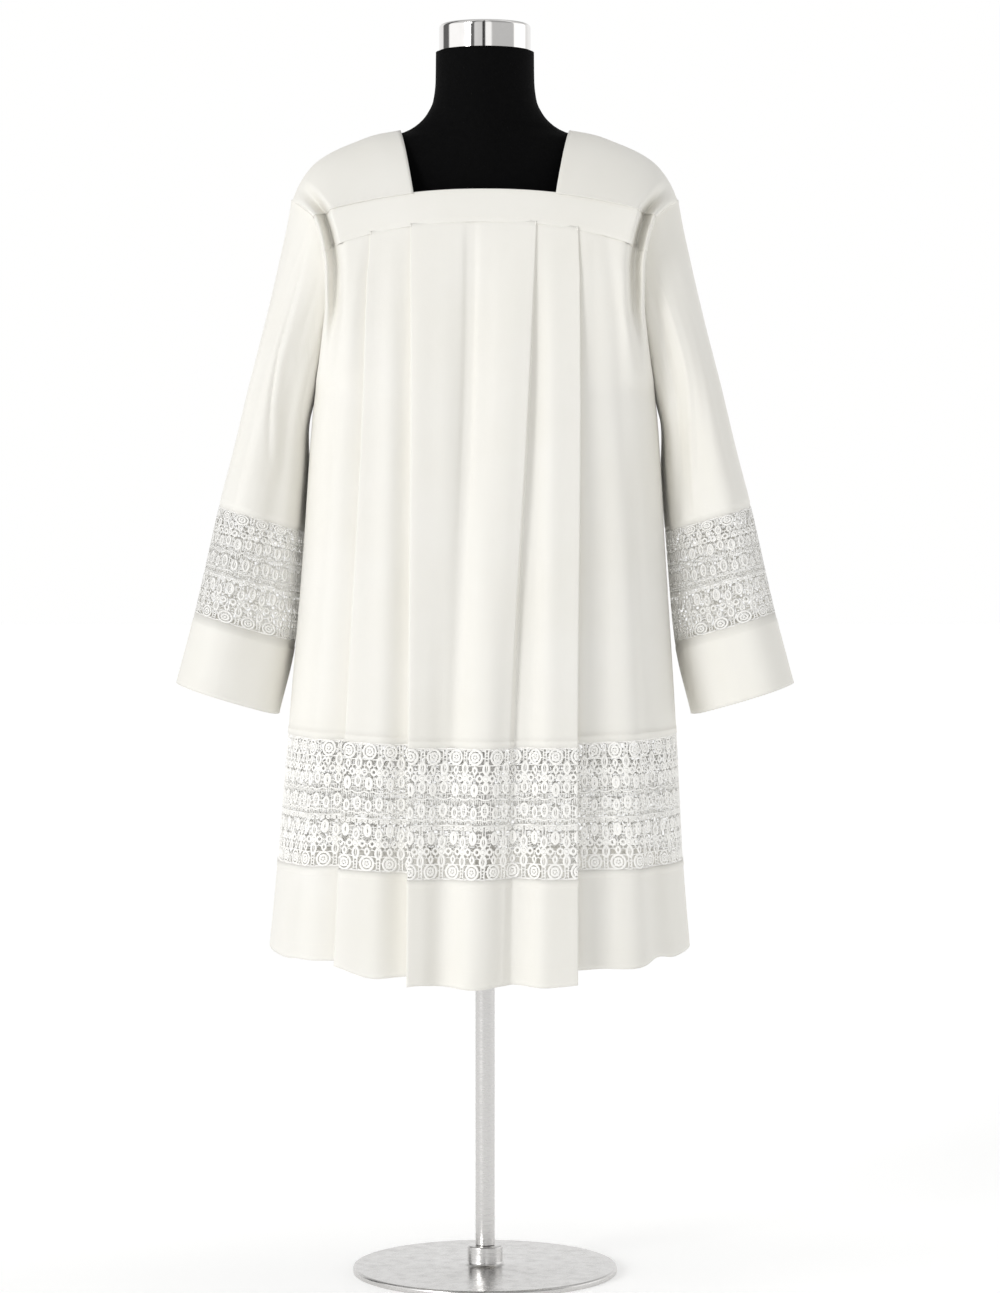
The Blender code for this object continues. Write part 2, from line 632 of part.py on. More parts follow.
def shoulder_point(face, turn, t, gap=0.0):
    """Arch from the shoulder's top line (t = 0) down to the band's upper edge (t = 1)."""
    top_z = FRONT_NECK_Z if face == FRONT else BACK_NECK_Z
    foot = smooth_point(face, turn, top_z + gap)
    plain = oval_point(face, turn, foot[2])
    inner, outer = (oval_point(FRONT, u, YOKE_Z)[0] for u in (shoulder_turns()[0], 1.0))
    top = ridge_point((oval_point(FRONT, turn, YOKE_Z)[0] - inner) / (outer - inner))
    y = t * (plain[1] + (foot[1] - plain[1]) * t)
    x = top[0] + (foot[0] - top[0]) * t ** 1.5
    z = top[2] + (foot[2] - top[2]) * t ** 2.0
    return np.array([x, y, z])


def make_shoulder(hand, name, collection):
    """hand is 1 for +X and -1 for -X."""
    rows = []
    gap = YOKE_GAP / 2.0
    steps = [(FRONT, t) for t in SHOULDER_ROWS] + [(FRONT, 0.0)]
    steps += [(BACK, t) for t in reversed(SHOULDER_ROWS)]
    for face, t in steps:
        row = [shoulder_point(face, u, t, gap) for u in shoulder_turns()]
        rows.append([p * np.array([hand, 1.0, 1.0]) for p in row])
    cloth(name, collection, rows, flip=(hand == 1))


def armhole_loop():
    """Seam points of the right armhole: from the top over the front, then up the back."""
    front = [shoulder_point(FRONT, 1.0, t) for t in reversed(SHOULDER_ROWS)]
    back = [shoulder_point(BACK, 1.0, t) for t in SHOULDER_ROWS]
    loop = [ridge_point(1.0)] + front
    for face in (FRONT, BACK):
        low, high = (FRONT_SEAM_Z, FRONT_NECK_Z) if face == FRONT else (BACK_SEAM_Z, BACK_NECK_Z)
        heights = [(low + high) / 2.0, low]
        heights += [UNDERARM_Z + s * (low - UNDERARM_Z) for s in PANEL_STEPS[1:-1]]
        points = [smooth_point(face, 1.0, z) for z in heights]
        if face == FRONT:
            loop += points + [smooth_point(face, 1.0, UNDERARM_Z)]
        else:
            loop += list(reversed(points))
    return np.array(loop + back)


def loop_angles(loop):
    """Angle of each seam point: 0 at the top, 180 at the underarm, by length."""
    bottom = int(np.argmin(loop[:, 2]))
    closed = np.vstack([loop, loop[:1]])
    walked = np.concatenate([[0.0], np.cumsum(np.linalg.norm(np.diff(closed, axis=0), axis=1))])
    front = walked[: bottom + 1] / walked[bottom] * 180.0
    rest = (walked[bottom + 1 : -1] - walked[bottom]) / (walked[-1] - walked[bottom])
    return np.concatenate([front, 180.0 + rest * 180.0])


SECTION_CURVES = [smooth(range(len(SLEEVE)), column) for column in zip(*SLEEVE)]
SLEEVE_FOLD_CURVES = [
    smooth((0.0, SLEEVE_CUFF / 2.0, SLEEVE_CUFF), (row.d_top, row.d_middle, row.d_cuff))
    for row in SLEEVE_FOLDS
]


def section_at(s):
    return Section(*[curve(s) for curve in SECTION_CURVES])


def sleeve_oval(angle, s):
    """Oval of the right sleeve at section s, with its long folds."""
    cut = section_at(s)
    outer = np.array([cut.outer_x, 0.0, cut.outer_z])
    inner = np.array([cut.inner_x, 0.0, cut.inner_z])
    middle = (outer + inner) / 2.0
    a = math.radians(angle)
    power = 2.0 / 2.3
    across = math.copysign(abs(math.cos(a)) ** power, math.cos(a))
    depth = math.copysign(abs(math.sin(a)) ** power, math.sin(a))
    fold = 0.0
    for row, size_at in zip(SLEEVE_FOLDS, SLEEVE_FOLD_CURVES):
        away = (angle - row.angle) / row.width
        fold += size_at(s) * math.exp(-away * away) * min(1.0, s)
    radial = (outer - middle) / np.linalg.norm(outer - middle) * math.cos(a)
    radial = radial + np.array([0.0, -1.0, 0.0]) * math.sin(a)
    point = middle + (outer - middle) * across + np.array([0.0, -cut.half_depth * depth, 0.0])
    point[1] += cut.set_back * (1.0 - math.cos(a)) / 2.0
    return point + radial * fold


def sleeve_point(angle, s, seam_point=None):
    cut = section_at(s)
    oval = sleeve_oval(angle, s)
    if seam_point is None or cut.blend >= 1.0:
        return oval
    first = SLEEVE[0]
    now = np.array([cut.outer_x + cut.inner_x, 0.0, cut.outer_z + cut.inner_z]) / 2.0
    start = np.array([first.outer_x + first.inner_x, 0.0, first.outer_z + first.inner_z]) / 2.0
    carried = seam_point + (now - start)
    return (1.0 - cut.blend) * carried + cut.blend * oval


def sleeve_shift(s, amount):
    """Section place that lies a short way further down the sleeve than s."""
    a, b = section_at(s - 0.05), section_at(s + 0.05)
    run = np.hypot(b.outer_x - a.outer_x, b.outer_z - a.outer_z) / 0.1
    return s + amount / run


def mirrored(rows, hand):
    return [[p * np.array([hand, 1.0, 1.0]) for p in row] for row in rows]


def make_sleeve(hand, name, collection):
    loop = armhole_loop()
    angles = loop_angles(loop)
    places = [1.0, 2.0, 3.0, 4.0, 5.0, sleeve_shift(SLEEVE_LACE_TOP, -LACE_SEAM_GAP / 2.0)]
    rows = [[sleeve_point(a, s, p) for a, p in zip(angles, loop)] for s in places]
    first = []
    for seam, after in zip(loop, rows[0]):
        way = after - seam
        first.append(seam + way / np.linalg.norm(way) * ARMHOLE_GAP)
    rows.insert(0, first)
    cloth(name, collection, mirrored(rows, hand), ring=True, flip=(hand == 1))


def make_sleeve_lace(hand, face, name, collection):
    """Half of the lace round a sleeve, its front or its back."""
    start, stop = (0.0, 180.0) if face == FRONT else (180.0, 360.0)
    middle_s = (SLEEVE_LACE_TOP + SLEEVE_LACE_BOTTOM) / 2.0
    samples = np.linspace(start, stop, 361)
    path = np.array([sleeve_oval(a, middle_s) for a in samples])
    columns = lace_columns(path, [start + SLEEVE_SIDE, stop - SLEEVE_SIDE], samples, SLEEVE_CLEAR)
    places, gap_rows = lace_heights()
    low = sleeve_shift(SLEEVE_LACE_BOTTOM, -LACE_SEAM_GAP / 2.0)
    high = sleeve_shift(SLEEVE_LACE_TOP, LACE_SEAM_GAP / 2.0)
    rows = [[sleeve_oval(c, low + p * (high - low)) for c, _ in columns] for p in places]
    for row in rows:
        for c in (0, -1):
            row[c] = row[c] + np.array([0.0, face * SEAM_GAP / 2.0, 0.0])
    holes = {(r, c) for r in gap_rows for c, (_, gap) in enumerate(columns) if gap}
    cloth(name, collection, mirrored(rows, hand), LACE_IVORY, left_out=holes, flip=(hand == 1))
    return len(holes)


def make_cuff(hand, name, collection):
    angles = loop_angles(armhole_loop())
    middle = (SLEEVE_LACE_BOTTOM + SLEEVE_CUFF) / 2.0
    places = (sleeve_shift(SLEEVE_LACE_BOTTOM, LACE_SEAM_GAP / 2.0), middle, SLEEVE_CUFF)
    rows = [[sleeve_oval(a, s) for a in angles] for s in places]
    cloth(name, collection, mirrored(rows, hand), ring=True, flip=(hand == 1))


def make_form(collection):
    """Torso and neck of the dress form, a closed loft through its level rings."""
    mesh = bpy.data.meshes.new("form_torso")
    bm = bmesh.new()
    loops = []
    for ring in FORM:
        loop = []
        for i in range(FORM_SIDES):
            a = 2.0 * math.pi * i / FORM_SIDES
            power = 2.0 / ring.square
            x = ring.side * math.copysign(abs(math.cos(a)) ** power, math.cos(a))
            y = math.copysign(abs(math.sin(a)) ** power, math.sin(a))
            y *= ring.back if y > 0.0 else ring.front
            loop.append(bm.verts.new((x, y, ring.z)))
        loops.append(loop)
    for low, high in zip(loops, loops[1:]):
        for i in range(FORM_SIDES):
            j = (i + 1) % FORM_SIDES
            bm.faces.new((low[i], low[j], high[j], high[i]))
    bm.faces.new(reversed(loops[0]))
    bm.faces.new(loops[-1])
    bm.to_mesh(mesh)
    bm.free()
    mesh.shade_smooth()
    place(bpy.data.objects.new("form_torso", mesh), collection, JERSEY_BLACK, 0.9)


def turned(name, collection, profile, steps, colour, roughness, metallic):
    """A turned piece: its profile runs down the outer side, from the axis to the axis."""
    mesh = bpy.data.meshes.new(name)
    verts = [(r, 0.0, z) for r, z in profile]
    mesh.from_pydata(verts, [(i, i + 1) for i in range(len(verts) - 1)], [])
    obj = bpy.data.objects.new(name, mesh)
    screw = obj.modifiers.new("turn", "SCREW")
    screw.axis = "Z"
    screw.angle = 2.0 * math.pi
    screw.steps = steps
    screw.render_steps = steps
    screw.use_merge_vertices = True
    screw.merge_threshold = 0.00005
    return place(obj, collection, colour, roughness, metallic)


def make_stand(collection):
    boss_top = 0.034
    base = [
        (0.0, boss_top),
        (POLE_R + 0.008, boss_top),
        (POLE_R + 0.010, boss_top - 0.002),
        (POLE_R + 0.010, BASE_H + 0.004),
        (POLE_R + 0.016, BASE_H + 0.001),
        (BASE_R - 0.003, BASE_H),
        (BASE_R, BASE_H - 0.003),
        (BASE_R, 0.0),
        (0.0, 0.0),
    ]
    turned("form_base", collection, base, 36, STEEL, 0.3, 1.0)
    top = FORM[0].z - SEAM_GAP
    bottom = boss_top + SEAM_GAP
    pole = [(0.0, top), (POLE_R, top), (POLE_R, bottom), (0.0, bottom)]
    turned("form_pole", collection, pole, 20, STEEL, 0.2, 1.0)
    rounding = 0.004
    cap = [
        (0.0, CAP_TOP_Z),
        (CAP_R - rounding, CAP_TOP_Z),
        (CAP_R - rounding * 0.3, CAP_TOP_Z - rounding * 0.3),
        (CAP_R, CAP_TOP_Z - rounding),
        (CAP_R, NECK_TOP_Z + SEAM_GAP),
        (0.0, NECK_TOP_Z + SEAM_GAP),
    ]
    turned("neck_cap", collection, cap, 32, STEEL, 0.08, 1.0)


def build():
    for obj in list(bpy.data.objects):
        bpy.data.objects.remove(obj, do_unlink=True)
    collection = part_collection()
    gaps = 0
    for face, side in ((FRONT, "front"), (BACK, "back")):
        make_band(face, side + "_band", collection)
        make_panel(face, side + "_panel", collection)
        gaps += make_body_lace(face, "lace_" + side, collection)
        make_hem(face, "hem_" + side, collection)
    for hand, side in ((-1, "left"), (1, "right")):
        make_shoulder(hand, "shoulder_" + side, collection)
        make_sleeve(hand, "sleeve_" + side, collection)
        for face, half in ((FRONT, "front"), (BACK, "back")):
            gaps += make_sleeve_lace(hand, face, f"sleeve_lace_{side}_{half}", collection)
        make_cuff(hand, "cuff_" + side, collection)
    make_form(collection)
    make_stand(collection)
    print("gaps cut through the lace:", gaps)


build()
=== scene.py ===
"""Looks of the surplice on its dress form: fine cloth, guipure lace, stitching, form and stand."""

import math
from collections import namedtuple

import bmesh
import bpy
import numpy as np
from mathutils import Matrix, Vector


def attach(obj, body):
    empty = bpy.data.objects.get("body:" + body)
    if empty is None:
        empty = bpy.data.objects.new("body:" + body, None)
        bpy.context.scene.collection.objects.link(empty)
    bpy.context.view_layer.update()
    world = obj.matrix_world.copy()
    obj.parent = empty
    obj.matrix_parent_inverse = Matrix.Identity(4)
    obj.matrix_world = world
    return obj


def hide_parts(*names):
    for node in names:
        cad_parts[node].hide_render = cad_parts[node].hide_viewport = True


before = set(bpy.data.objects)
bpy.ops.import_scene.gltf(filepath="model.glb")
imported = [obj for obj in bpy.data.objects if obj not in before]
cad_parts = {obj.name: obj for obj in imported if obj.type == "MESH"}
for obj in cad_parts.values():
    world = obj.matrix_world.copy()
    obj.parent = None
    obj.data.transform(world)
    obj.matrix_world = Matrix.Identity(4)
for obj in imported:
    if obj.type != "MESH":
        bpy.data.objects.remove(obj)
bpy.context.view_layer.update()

FRONT, BACK = -1, 1

# Cloth
CLOTH_THICK = 0.0010
UNDERARM_Z = 1.130
LACE_TOP_Z = 0.686
LACE_BOTTOM_Z = 0.527
HEM_Z = 0.398
FRONT_SEAM_Z = 1.338
YOKE_Z = 1.330
FRONT_NECK_Z = 1.380
BACK_SEAM_Z = 1.368
BACK_NECK_Z = 1.410
NECK_X = 0.0885
SEAM_GAP = 0.0004

# Level rows of the body, as in the solids
Level = namedtuple("Level", "z side front back shift square")
BODY = [
    Level(z=0.398, side=0.2715, front=0.240, back=0.232, shift=-0.0070, square=2.3),
    Level(z=0.527, side=0.2600, front=0.218, back=0.210, shift=-0.0060, square=2.3),
    Level(z=0.686, side=0.2490, front=0.193, back=0.186, shift=-0.0035, square=2.4),
    Level(z=0.915, side=0.2320, front=0.163, back=0.156, shift=-0.0010, square=2.5),
    Level(z=1.130, side=0.2166, front=0.137, back=0.128, shift=0.0, square=2.7),
    Level(z=1.280, side=0.2015, front=0.121, back=0.115, shift=0.0, square=3.0),
    Level(z=1.338, side=0.2110, front=0.112, back=0.107, shift=0.0, square=3.0),
    Level(z=1.410, side=0.2160, front=0.094, back=0.088, shift=0.0, square=2.8),
]

Edge = namedtuple("Edge", "z side depth")
ARMHOLE = [
    Edge(z=1.1300, side=0.2166, depth=0.0000),
    Edge(z=1.1430, side=0.2145, depth=0.0165),
    Edge(z=1.1650, side=0.2105, depth=0.0310),
    Edge(z=1.2000, side=0.2055, depth=0.0440),
    Edge(z=1.2400, side=0.2015, depth=0.0520),
    Edge(z=1.2810, side=0.2015, depth=0.0550),
    Edge(z=1.3250, side=0.2085, depth=0.0535),
    Edge(z=1.3485, side=0.2160, depth=0.0500),
]

Ridge = namedtuple("Ridge", "side z")
SHOULDER = [
    Ridge(side=0.108, z=1.4620),
    Ridge(side=0.140, z=1.4560),
    Ridge(side=0.165, z=1.4470),
    Ridge(side=0.195, z=1.4340),
    Ridge(side=0.215, z=1.4210),
    Ridge(side=0.227, z=1.4080),
    Ridge(side=0.237, z=1.3920),
    Ridge(side=0.246, z=1.3710),
]

SEAM_REACH = 6.0
TROUGH_CHEST = 0.0250
TROUGH_BOTTOM = 0.0150
TROUGH_HEIGHTS = (1.130, 1.170, 1.260, 1.350)
TROUGH_FRONT = (0.0, 0.008, 0.036, 0.044)
TROUGH_BACK = (0.0, 0.006, 0.028, 0.034)

# Folds as in the solids: places and depths at the yoke, the underarm, the lace and the hem
Fold = namedtuple("Fold", "name kind x_yoke x_arm x_lace x_hem d_yoke d_arm d_lace d_hem lift")
FRONT_FOLDS = [
    Fold("left side ridge", "soft", -0.158, -0.172, -0.205, -0.220, 0.0, 0.003, 0.006, 0.008, 0.008),
    Fold("left pleat under", "knife", -0.1445, -0.149, -0.1685, -0.179, -0.001, -0.006, -0.010, -0.013, 0.013),
    Fold("left pleat lip", "soft", -0.1460, -0.151, -0.1710, -0.182, 0.001, 0.004, 0.007, 0.010, 0.009),
    Fold("left hollow", "soft", -0.122, -0.124, -0.135, -0.140, 0.0, -0.001, 0.001, 0.003, 0.0),
    Fold("second pleat under", "knife", -0.0920, -0.090, -0.0905, -0.090, -0.001, -0.008, -0.014, -0.017, 0.006),
    Fold("second pleat lip", "soft", -0.0936, -0.092, -0.0932, -0.0934, 0.001, 0.005, 0.009, 0.012, -0.004),
    Fold("left centre hollow", "soft", -0.055, -0.056, -0.074, -0.080, 0.0, 0.001, 0.003, 0.005, -0.002),
    Fold("centre valley", "soft", -0.016, -0.020, -0.042, -0.054, -0.0005, -0.006, -0.011, -0.014, -0.003),
    Fold("centre ridge", "soft", 0.024, 0.016, -0.004, -0.014, 0.0, 0.003, 0.007, 0.010, -0.005),
    Fold("third pleat lip", "knife", 0.0649, 0.055, 0.0310, 0.022, 0.001, 0.003, -0.003, -0.008, -0.002),
    Fold("third pleat under", "soft", 0.0640, 0.056, 0.0380, 0.034, -0.001, -0.009, -0.014, -0.015, -0.001),
    Fold("right centre ridge", "soft", 0.086, 0.082, 0.076, 0.072, 0.0, 0.003, 0.007, 0.011, -0.005),
    Fold("fourth pleat lip", "knife", 0.1186, 0.118, 0.1128, 0.1116, 0.001, 0.005, 0.009, 0.012, -0.005),
    Fold("fourth pleat under", "soft", 0.1170, 0.116, 0.1100, 0.108, -0.001, -0.008, -0.014, -0.017, 0.010),
    Fold("right hollow", "soft", 0.132, 0.133, 0.134, 0.136, -0.0005, -0.005, -0.010, -0.013, 0.008),
    Fold("right ridge", "soft", 0.148, 0.158, 0.178, 0.188, 0.0, 0.003, 0.006, 0.008, 0.002),
    Fold("right side valley", "soft", 0.160, 0.175, 0.206, 0.222, 0.0, -0.003, -0.004, -0.005, 0.006),
]
BACK_FOLDS = [
    Fold("right side ridge", "soft", 0.158, 0.172, 0.205, 0.222, 0.0, 0.003, 0.006, 0.008, 0.004),
    Fold("right pleat under", "knife", 0.1335, 0.136, 0.1465, 0.153, -0.001, -0.006, -0.010, -0.013, 0.010),
    Fold("right pleat lip", "soft", 0.1350, 0.138, 0.1490, 0.156, 0.001, 0.004, 0.007, 0.010, 0.006),
    Fold("right hollow", "soft", 0.108, 0.110, 0.116, 0.120, 0.0, -0.001, 0.001, 0.002, 0.0),
    Fold("inner right under", "knife", 0.0725, 0.074, 0.0775, 0.080, -0.001, -0.007, -0.012, -0.015, 0.006),
    Fold("inner right lip", "soft", 0.0740, 0.076, 0.0800, 0.083, 0.001, 0.005, 0.009, 0.011, -0.003),
    Fold("right centre valley", "soft", 0.036, 0.034, 0.042, 0.048, 0.0, -0.003, -0.008, -0.011, -0.002),
    Fold("centre ridge", "soft", 0.004, 0.006, 0.008, 0.006, 0.0, 0.003, 0.006, 0.009, -0.004),
    Fold("left centre valley", "soft", -0.034, -0.038, -0.036, -0.042, 0.0, -0.003, -0.009, -0.011, -0.002),
    Fold("inner left lip", "knife", -0.0740, -0.077, -0.0820, -0.085, 0.001, 0.005, 0.009, 0.011, -0.003),
    Fold("inner left under", "soft", -0.0725, -0.075, -0.0795, -0.082, -0.001, -0.007, -0.012, -0.015, 0.007),
    Fold("left hollow", "soft", -0.106, -0.110, -0.118, -0.122, 0.0, -0.001, 0.0, 0.002, 0.0),
    Fold("left pleat lip", "knife", -0.1350, -0.139, -0.1530, -0.160, 0.001, 0.004, 0.007, 0.010, -0.002),
    Fold("left pleat under", "soft", -0.1335, -0.137, -0.1505, -0.157, -0.001, -0.006, -0.010, -0.013, 0.010),
    Fold("left side ridge", "soft", -0.158, -0.172, -0.205, -0.222, 0.0, 0.003, 0.006, 0.008, 0.004),
]
FOLD_HEIGHTS = (HEM_Z, LACE_TOP_Z, UNDERARM_Z, FRONT_SEAM_Z)
# How much of the folds' lift there is at each height. It runs straight from pleat to pleat,
# and only the hem also waves with the folds between them.
LIFT_HEIGHTS = (HEM_Z, LACE_BOTTOM_Z, LACE_TOP_Z, 0.950, UNDERARM_Z)
LIFT_SHARES = (1.0, 0.65, 0.30, 0.0, 0.0)
WAVE_HEIGHTS = (HEM_Z, 0.463, LACE_BOTTOM_Z - 0.002, UNDERARM_Z)
WAVE_SHARES = (1.0, 0.4, 0.0, 0.0)

Section = namedtuple("Section", "outer_x outer_z inner_x inner_z half_depth set_back blend")
SLEEVE = [
    Section(0.2460, 1.3710, 0.2166, 1.1300, 0.055, 0.000, 0.0),
    Section(0.2530, 1.3300, 0.2200, 1.1180, 0.061, 0.004, 0.3),
    Section(0.2650, 1.2780, 0.2245, 1.0980, 0.067, 0.010, 0.6),
    Section(0.2830, 1.2050, 0.2265, 1.0700, 0.072, 0.020, 0.9),
    Section(0.3008, 1.1354, 0.2275, 1.0330, 0.075, 0.028, 1.0),
    Section(0.3200, 1.0560, 0.2298, 0.9950, 0.078, 0.032, 1.0),
    Section(0.3392, 0.9830, 0.2332, 0.9520, 0.081, 0.032, 1.0),
    Section(0.3700, 0.8500, 0.2450, 0.8120, 0.084, 0.030, 1.0),
    Section(0.3942, 0.7590, 0.2662, 0.7180, 0.085, 0.026, 1.0),
]
SLEEVE_LACE_TOP = 6.0
SLEEVE_LACE_BOTTOM = 7.0
SLEEVE_CUFF = 8.0

SleeveFold = namedtuple("SleeveFold", "name angle width d_top d_middle d_cuff")
SLEEVE_FOLDS = [
    SleeveFold("outer crease", 42.0, 16.0, -0.003, -0.004, -0.001),
    SleeveFold("front ridge", 72.0, 20.0, 0.004, 0.004, 0.002),
    SleeveFold("front trough", 108.0, 20.0, -0.005, -0.007, -0.003),
    SleeveFold("inner ridge", 140.0, 18.0, 0.001, 0.003, 0.002),
    SleeveFold("back trough", 250.0, 22.0, -0.004, -0.006, -0.003),
    SleeveFold("back ridge", 290.0, 20.0, 0.003, 0.004, 0.002),
]

Ring = namedtuple("Ring", "z side front back square")
FORM = [
    Ring(0.780, 0.166, 0.110, 0.106, 2.1),
    Ring(0.786, 0.171, 0.114, 0.110, 2.1),
    Ring(0.860, 0.171, 0.113, 0.109, 2.1),
    Ring(0.940, 0.158, 0.106, 0.100, 2.1),
    Ring(1.020, 0.148, 0.101, 0.090, 2.1),
    Ring(1.110, 0.158, 0.107, 0.095, 2.1),
    Ring(1.200, 0.166, 0.108, 0.099, 2.1),
    Ring(1.280, 0.173, 0.102, 0.098, 2.1),
    Ring(1.330, 0.182, 0.093, 0.091, 2.0),
    Ring(1.370, 0.190, 0.085, 0.083, 1.8),
    Ring(1.400, 0.194, 0.078, 0.077, 1.6),
    Ring(1.4198, 0.1925, 0.074, 0.073, 1.45),
    Ring(1.4309, 0.1850, 0.071, 0.071, 1.35),
    Ring(1.4432, 0.1640, 0.069, 0.069, 1.3),
    Ring(1.4528, 0.1390, 0.068, 0.067, 1.3),
    Ring(1.4589, 0.1070, 0.067, 0.066, 1.4),
    Ring(1.4700, 0.0860, 0.066, 0.065, 1.7),
    Ring(1.4830, 0.0740, 0.064, 0.063, 1.9),
    Ring(1.5000, 0.0660, 0.062, 0.062, 2.0),
    Ring(1.5250, 0.0630, 0.061, 0.061, 2.0),
    Ring(1.5615, 0.0625, 0.0605, 0.0605, 2.0),
]

# Low creases that only the cloth here shows: the line each follows, its half-width and
# height. x and z on the body; angle and section place on a sleeve.
Crease = namedtuple("Crease", "x_high z_high x_low z_low width height")
FRONT_CREASES = [
    Crease(-0.176, 1.250, -0.190, 0.900, 0.010, 0.0018),
    Crease(-0.136, 1.300, -0.150, 0.800, 0.009, -0.0016),
    Crease(-0.112, 1.320, -0.124, 0.620, 0.010, 0.0024),
    Crease(-0.098, 1.240, -0.104, 0.380, 0.008, -0.0030),
    Crease(-0.078, 1.330, -0.082, 1.000, 0.007, 0.0013),
    Crease(-0.052, 1.060, -0.066, 0.400, 0.010, -0.0028),
    Crease(-0.040, 1.250, -0.052, 0.540, 0.010, 0.0022),
    Crease(0.002, 1.330, 0.000, 0.950, 0.009, -0.0013),
    Crease(0.040, 1.330, 0.018, 0.700, 0.009, 0.0018),
    Crease(0.058, 1.200, 0.036, 0.380, 0.005, 0.0020),
    Crease(0.072, 1.260, 0.052, 0.340, 0.008, -0.0056),
    Crease(0.090, 1.320, 0.082, 0.560, 0.010, 0.0020),
    Crease(0.106, 1.325, 0.102, 0.640, 0.006, 0.0012),
    Crease(0.124, 1.370, 0.119, 0.300, 0.010, 0.0036),
    Crease(0.155, 1.370, 0.160, 0.300, 0.013, -0.0058),
    Crease(0.178, 1.290, 0.192, 0.500, 0.008, 0.0026),
    Crease(0.196, 1.160, 0.212, 0.460, 0.008, 0.0012),
    Crease(-0.106, 0.820, -0.114, 0.280, 0.011, -0.0042),
    Crease(0.010, 0.900, 0.008, 0.260, 0.011, 0.0034),
]
BACK_CREASES = [
    Crease(-0.172, 1.240, -0.186, 0.850, 0.010, 0.0016),
    Crease(-0.118, 1.330, -0.132, 0.700, 0.010, 0.0018),
    Crease(-0.092, 1.340, -0.098, 0.900, 0.008, -0.0014),
    Crease(-0.052, 1.350, -0.058, 0.560, 0.010, 0.0020),
    Crease(-0.014, 1.350, -0.012, 0.800, 0.009, -0.0014),
    Crease(0.022, 1.340, 0.024, 0.560, 0.010, 0.0018),
    Crease(0.056, 1.350, 0.060, 0.700, 0.009, -0.0016),
    Crease(0.092, 1.330, 0.098, 0.560, 0.010, 0.0020),
    Crease(0.122, 1.320, 0.132, 0.800, 0.008, -0.0014),
    Crease(0.176, 1.220, 0.190, 0.650, 0.010, 0.0018),
]
SLEEVE_CREASES = {
    -1: [
        Crease(20.0, 0.6, 26.0, 5.4, 9.0, 0.0018),
        Crease(42.0, 0.5, 90.0, 4.8, 3.2, -0.0042),
        Crease(54.0, 0.6, 103.0, 5.2, 7.0, 0.0026),
        Crease(114.0, 1.6, 122.0, 6.6, 13.0, 0.0034),
        Crease(90.0, 3.6, 84.0, 8.6, 9.0, 0.0020),
        Crease(28.0, -0.4, 34.0, 2.2, 6.0, -0.0026),
        Crease(74.0, -0.4, 92.0, 2.4, 6.0, -0.0024),
        Crease(118.0, -0.4, 132.0, 3.0, 8.0, -0.0024),
        Crease(160.0, 2.0, 158.0, 7.4, 10.0, -0.0022),
        Crease(200.0, 1.5, 205.0, 7.6, 12.0, 0.0026),
        Crease(228.0, 1.0, 226.0, 6.5, 10.0, 0.0020),
        Crease(270.0, 0.8, 268.0, 7.0, 9.0, -0.0018),
        Crease(318.0, 1.0, 322.0, 6.8, 12.0, 0.0022),
        Crease(342.0, 3.0, 345.0, 8.0, 10.0, -0.0018),
    ],
    1: [
        Crease(24.0, 0.6, 30.0, 5.4, 10.0, 0.0020),
        Crease(62.0, 0.3, 112.0, 6.0, 5.0, 0.0034),
        Crease(84.0, 0.2, 136.0, 6.2, 9.0, -0.0034),
        Crease(44.0, 0.8, 86.0, 5.4, 8.0, -0.0016),
        Crease(104.0, 3.0, 98.0, 8.6, 9.0, 0.0022),
        Crease(34.0, -0.4, 42.0, 2.0, 6.0, -0.0028),
        Crease(78.0, -0.4, 96.0, 2.2, 6.0, -0.0026),
        Crease(122.0, -0.4, 130.0, 2.6, 8.0, -0.0022),
        Crease(162.0, 2.0, 158.0, 7.4, 10.0, -0.0020),
        Crease(204.0, 1.5, 202.0, 7.6, 12.0, 0.0024),
        Crease(232.0, 1.0, 228.0, 6.5, 10.0, 0.0020),
        Crease(274.0, 0.8, 266.0, 7.0, 9.0, -0.0020),
        Crease(316.0, 1.0, 324.0, 6.8, 12.0, 0.0022),
        Crease(344.0, 3.0, 342.0, 8.0, 10.0, -0.0018),
    ],
}


# Curves and surfaces


def smooth(xs, ys):
    """Monotone cubic through the points, as a function of an array."""
    xs, ys = np.asarray(xs, float), np.asarray(ys, float)
    step = np.diff(xs)
    slope = np.diff(ys) / step
    lean = np.zeros_like(ys)
    lean[0], lean[-1] = slope[0], slope[-1]
    for i in range(1, len(xs) - 1):
        if slope[i - 1] * slope[i] > 0.0:
            a, b = 2.0 * step[i] + step[i - 1], step[i] + 2.0 * step[i - 1]
            lean[i] = (a + b) / (a / slope[i - 1] + b / slope[i])

    def value(x):
        x = np.clip(np.asarray(x, float), xs[0], xs[-1])
        i = np.clip(np.searchsorted(xs, x, side="right") - 1, 0, len(step) - 1)
        t = (x - xs[i]) / step[i]
        low = (1.0 + 2.0 * t) * (1.0 - t) ** 2 * ys[i] + t * (1.0 - t) ** 2 * step[i] * lean[i]
        high = t * t * (3.0 - 2.0 * t) * ys[i + 1] + t * t * (t - 1.0) * step[i] * lean[i + 1]
        return low + high

    return value


def ease(t):
    return t * t * (3.0 - 2.0 * t)


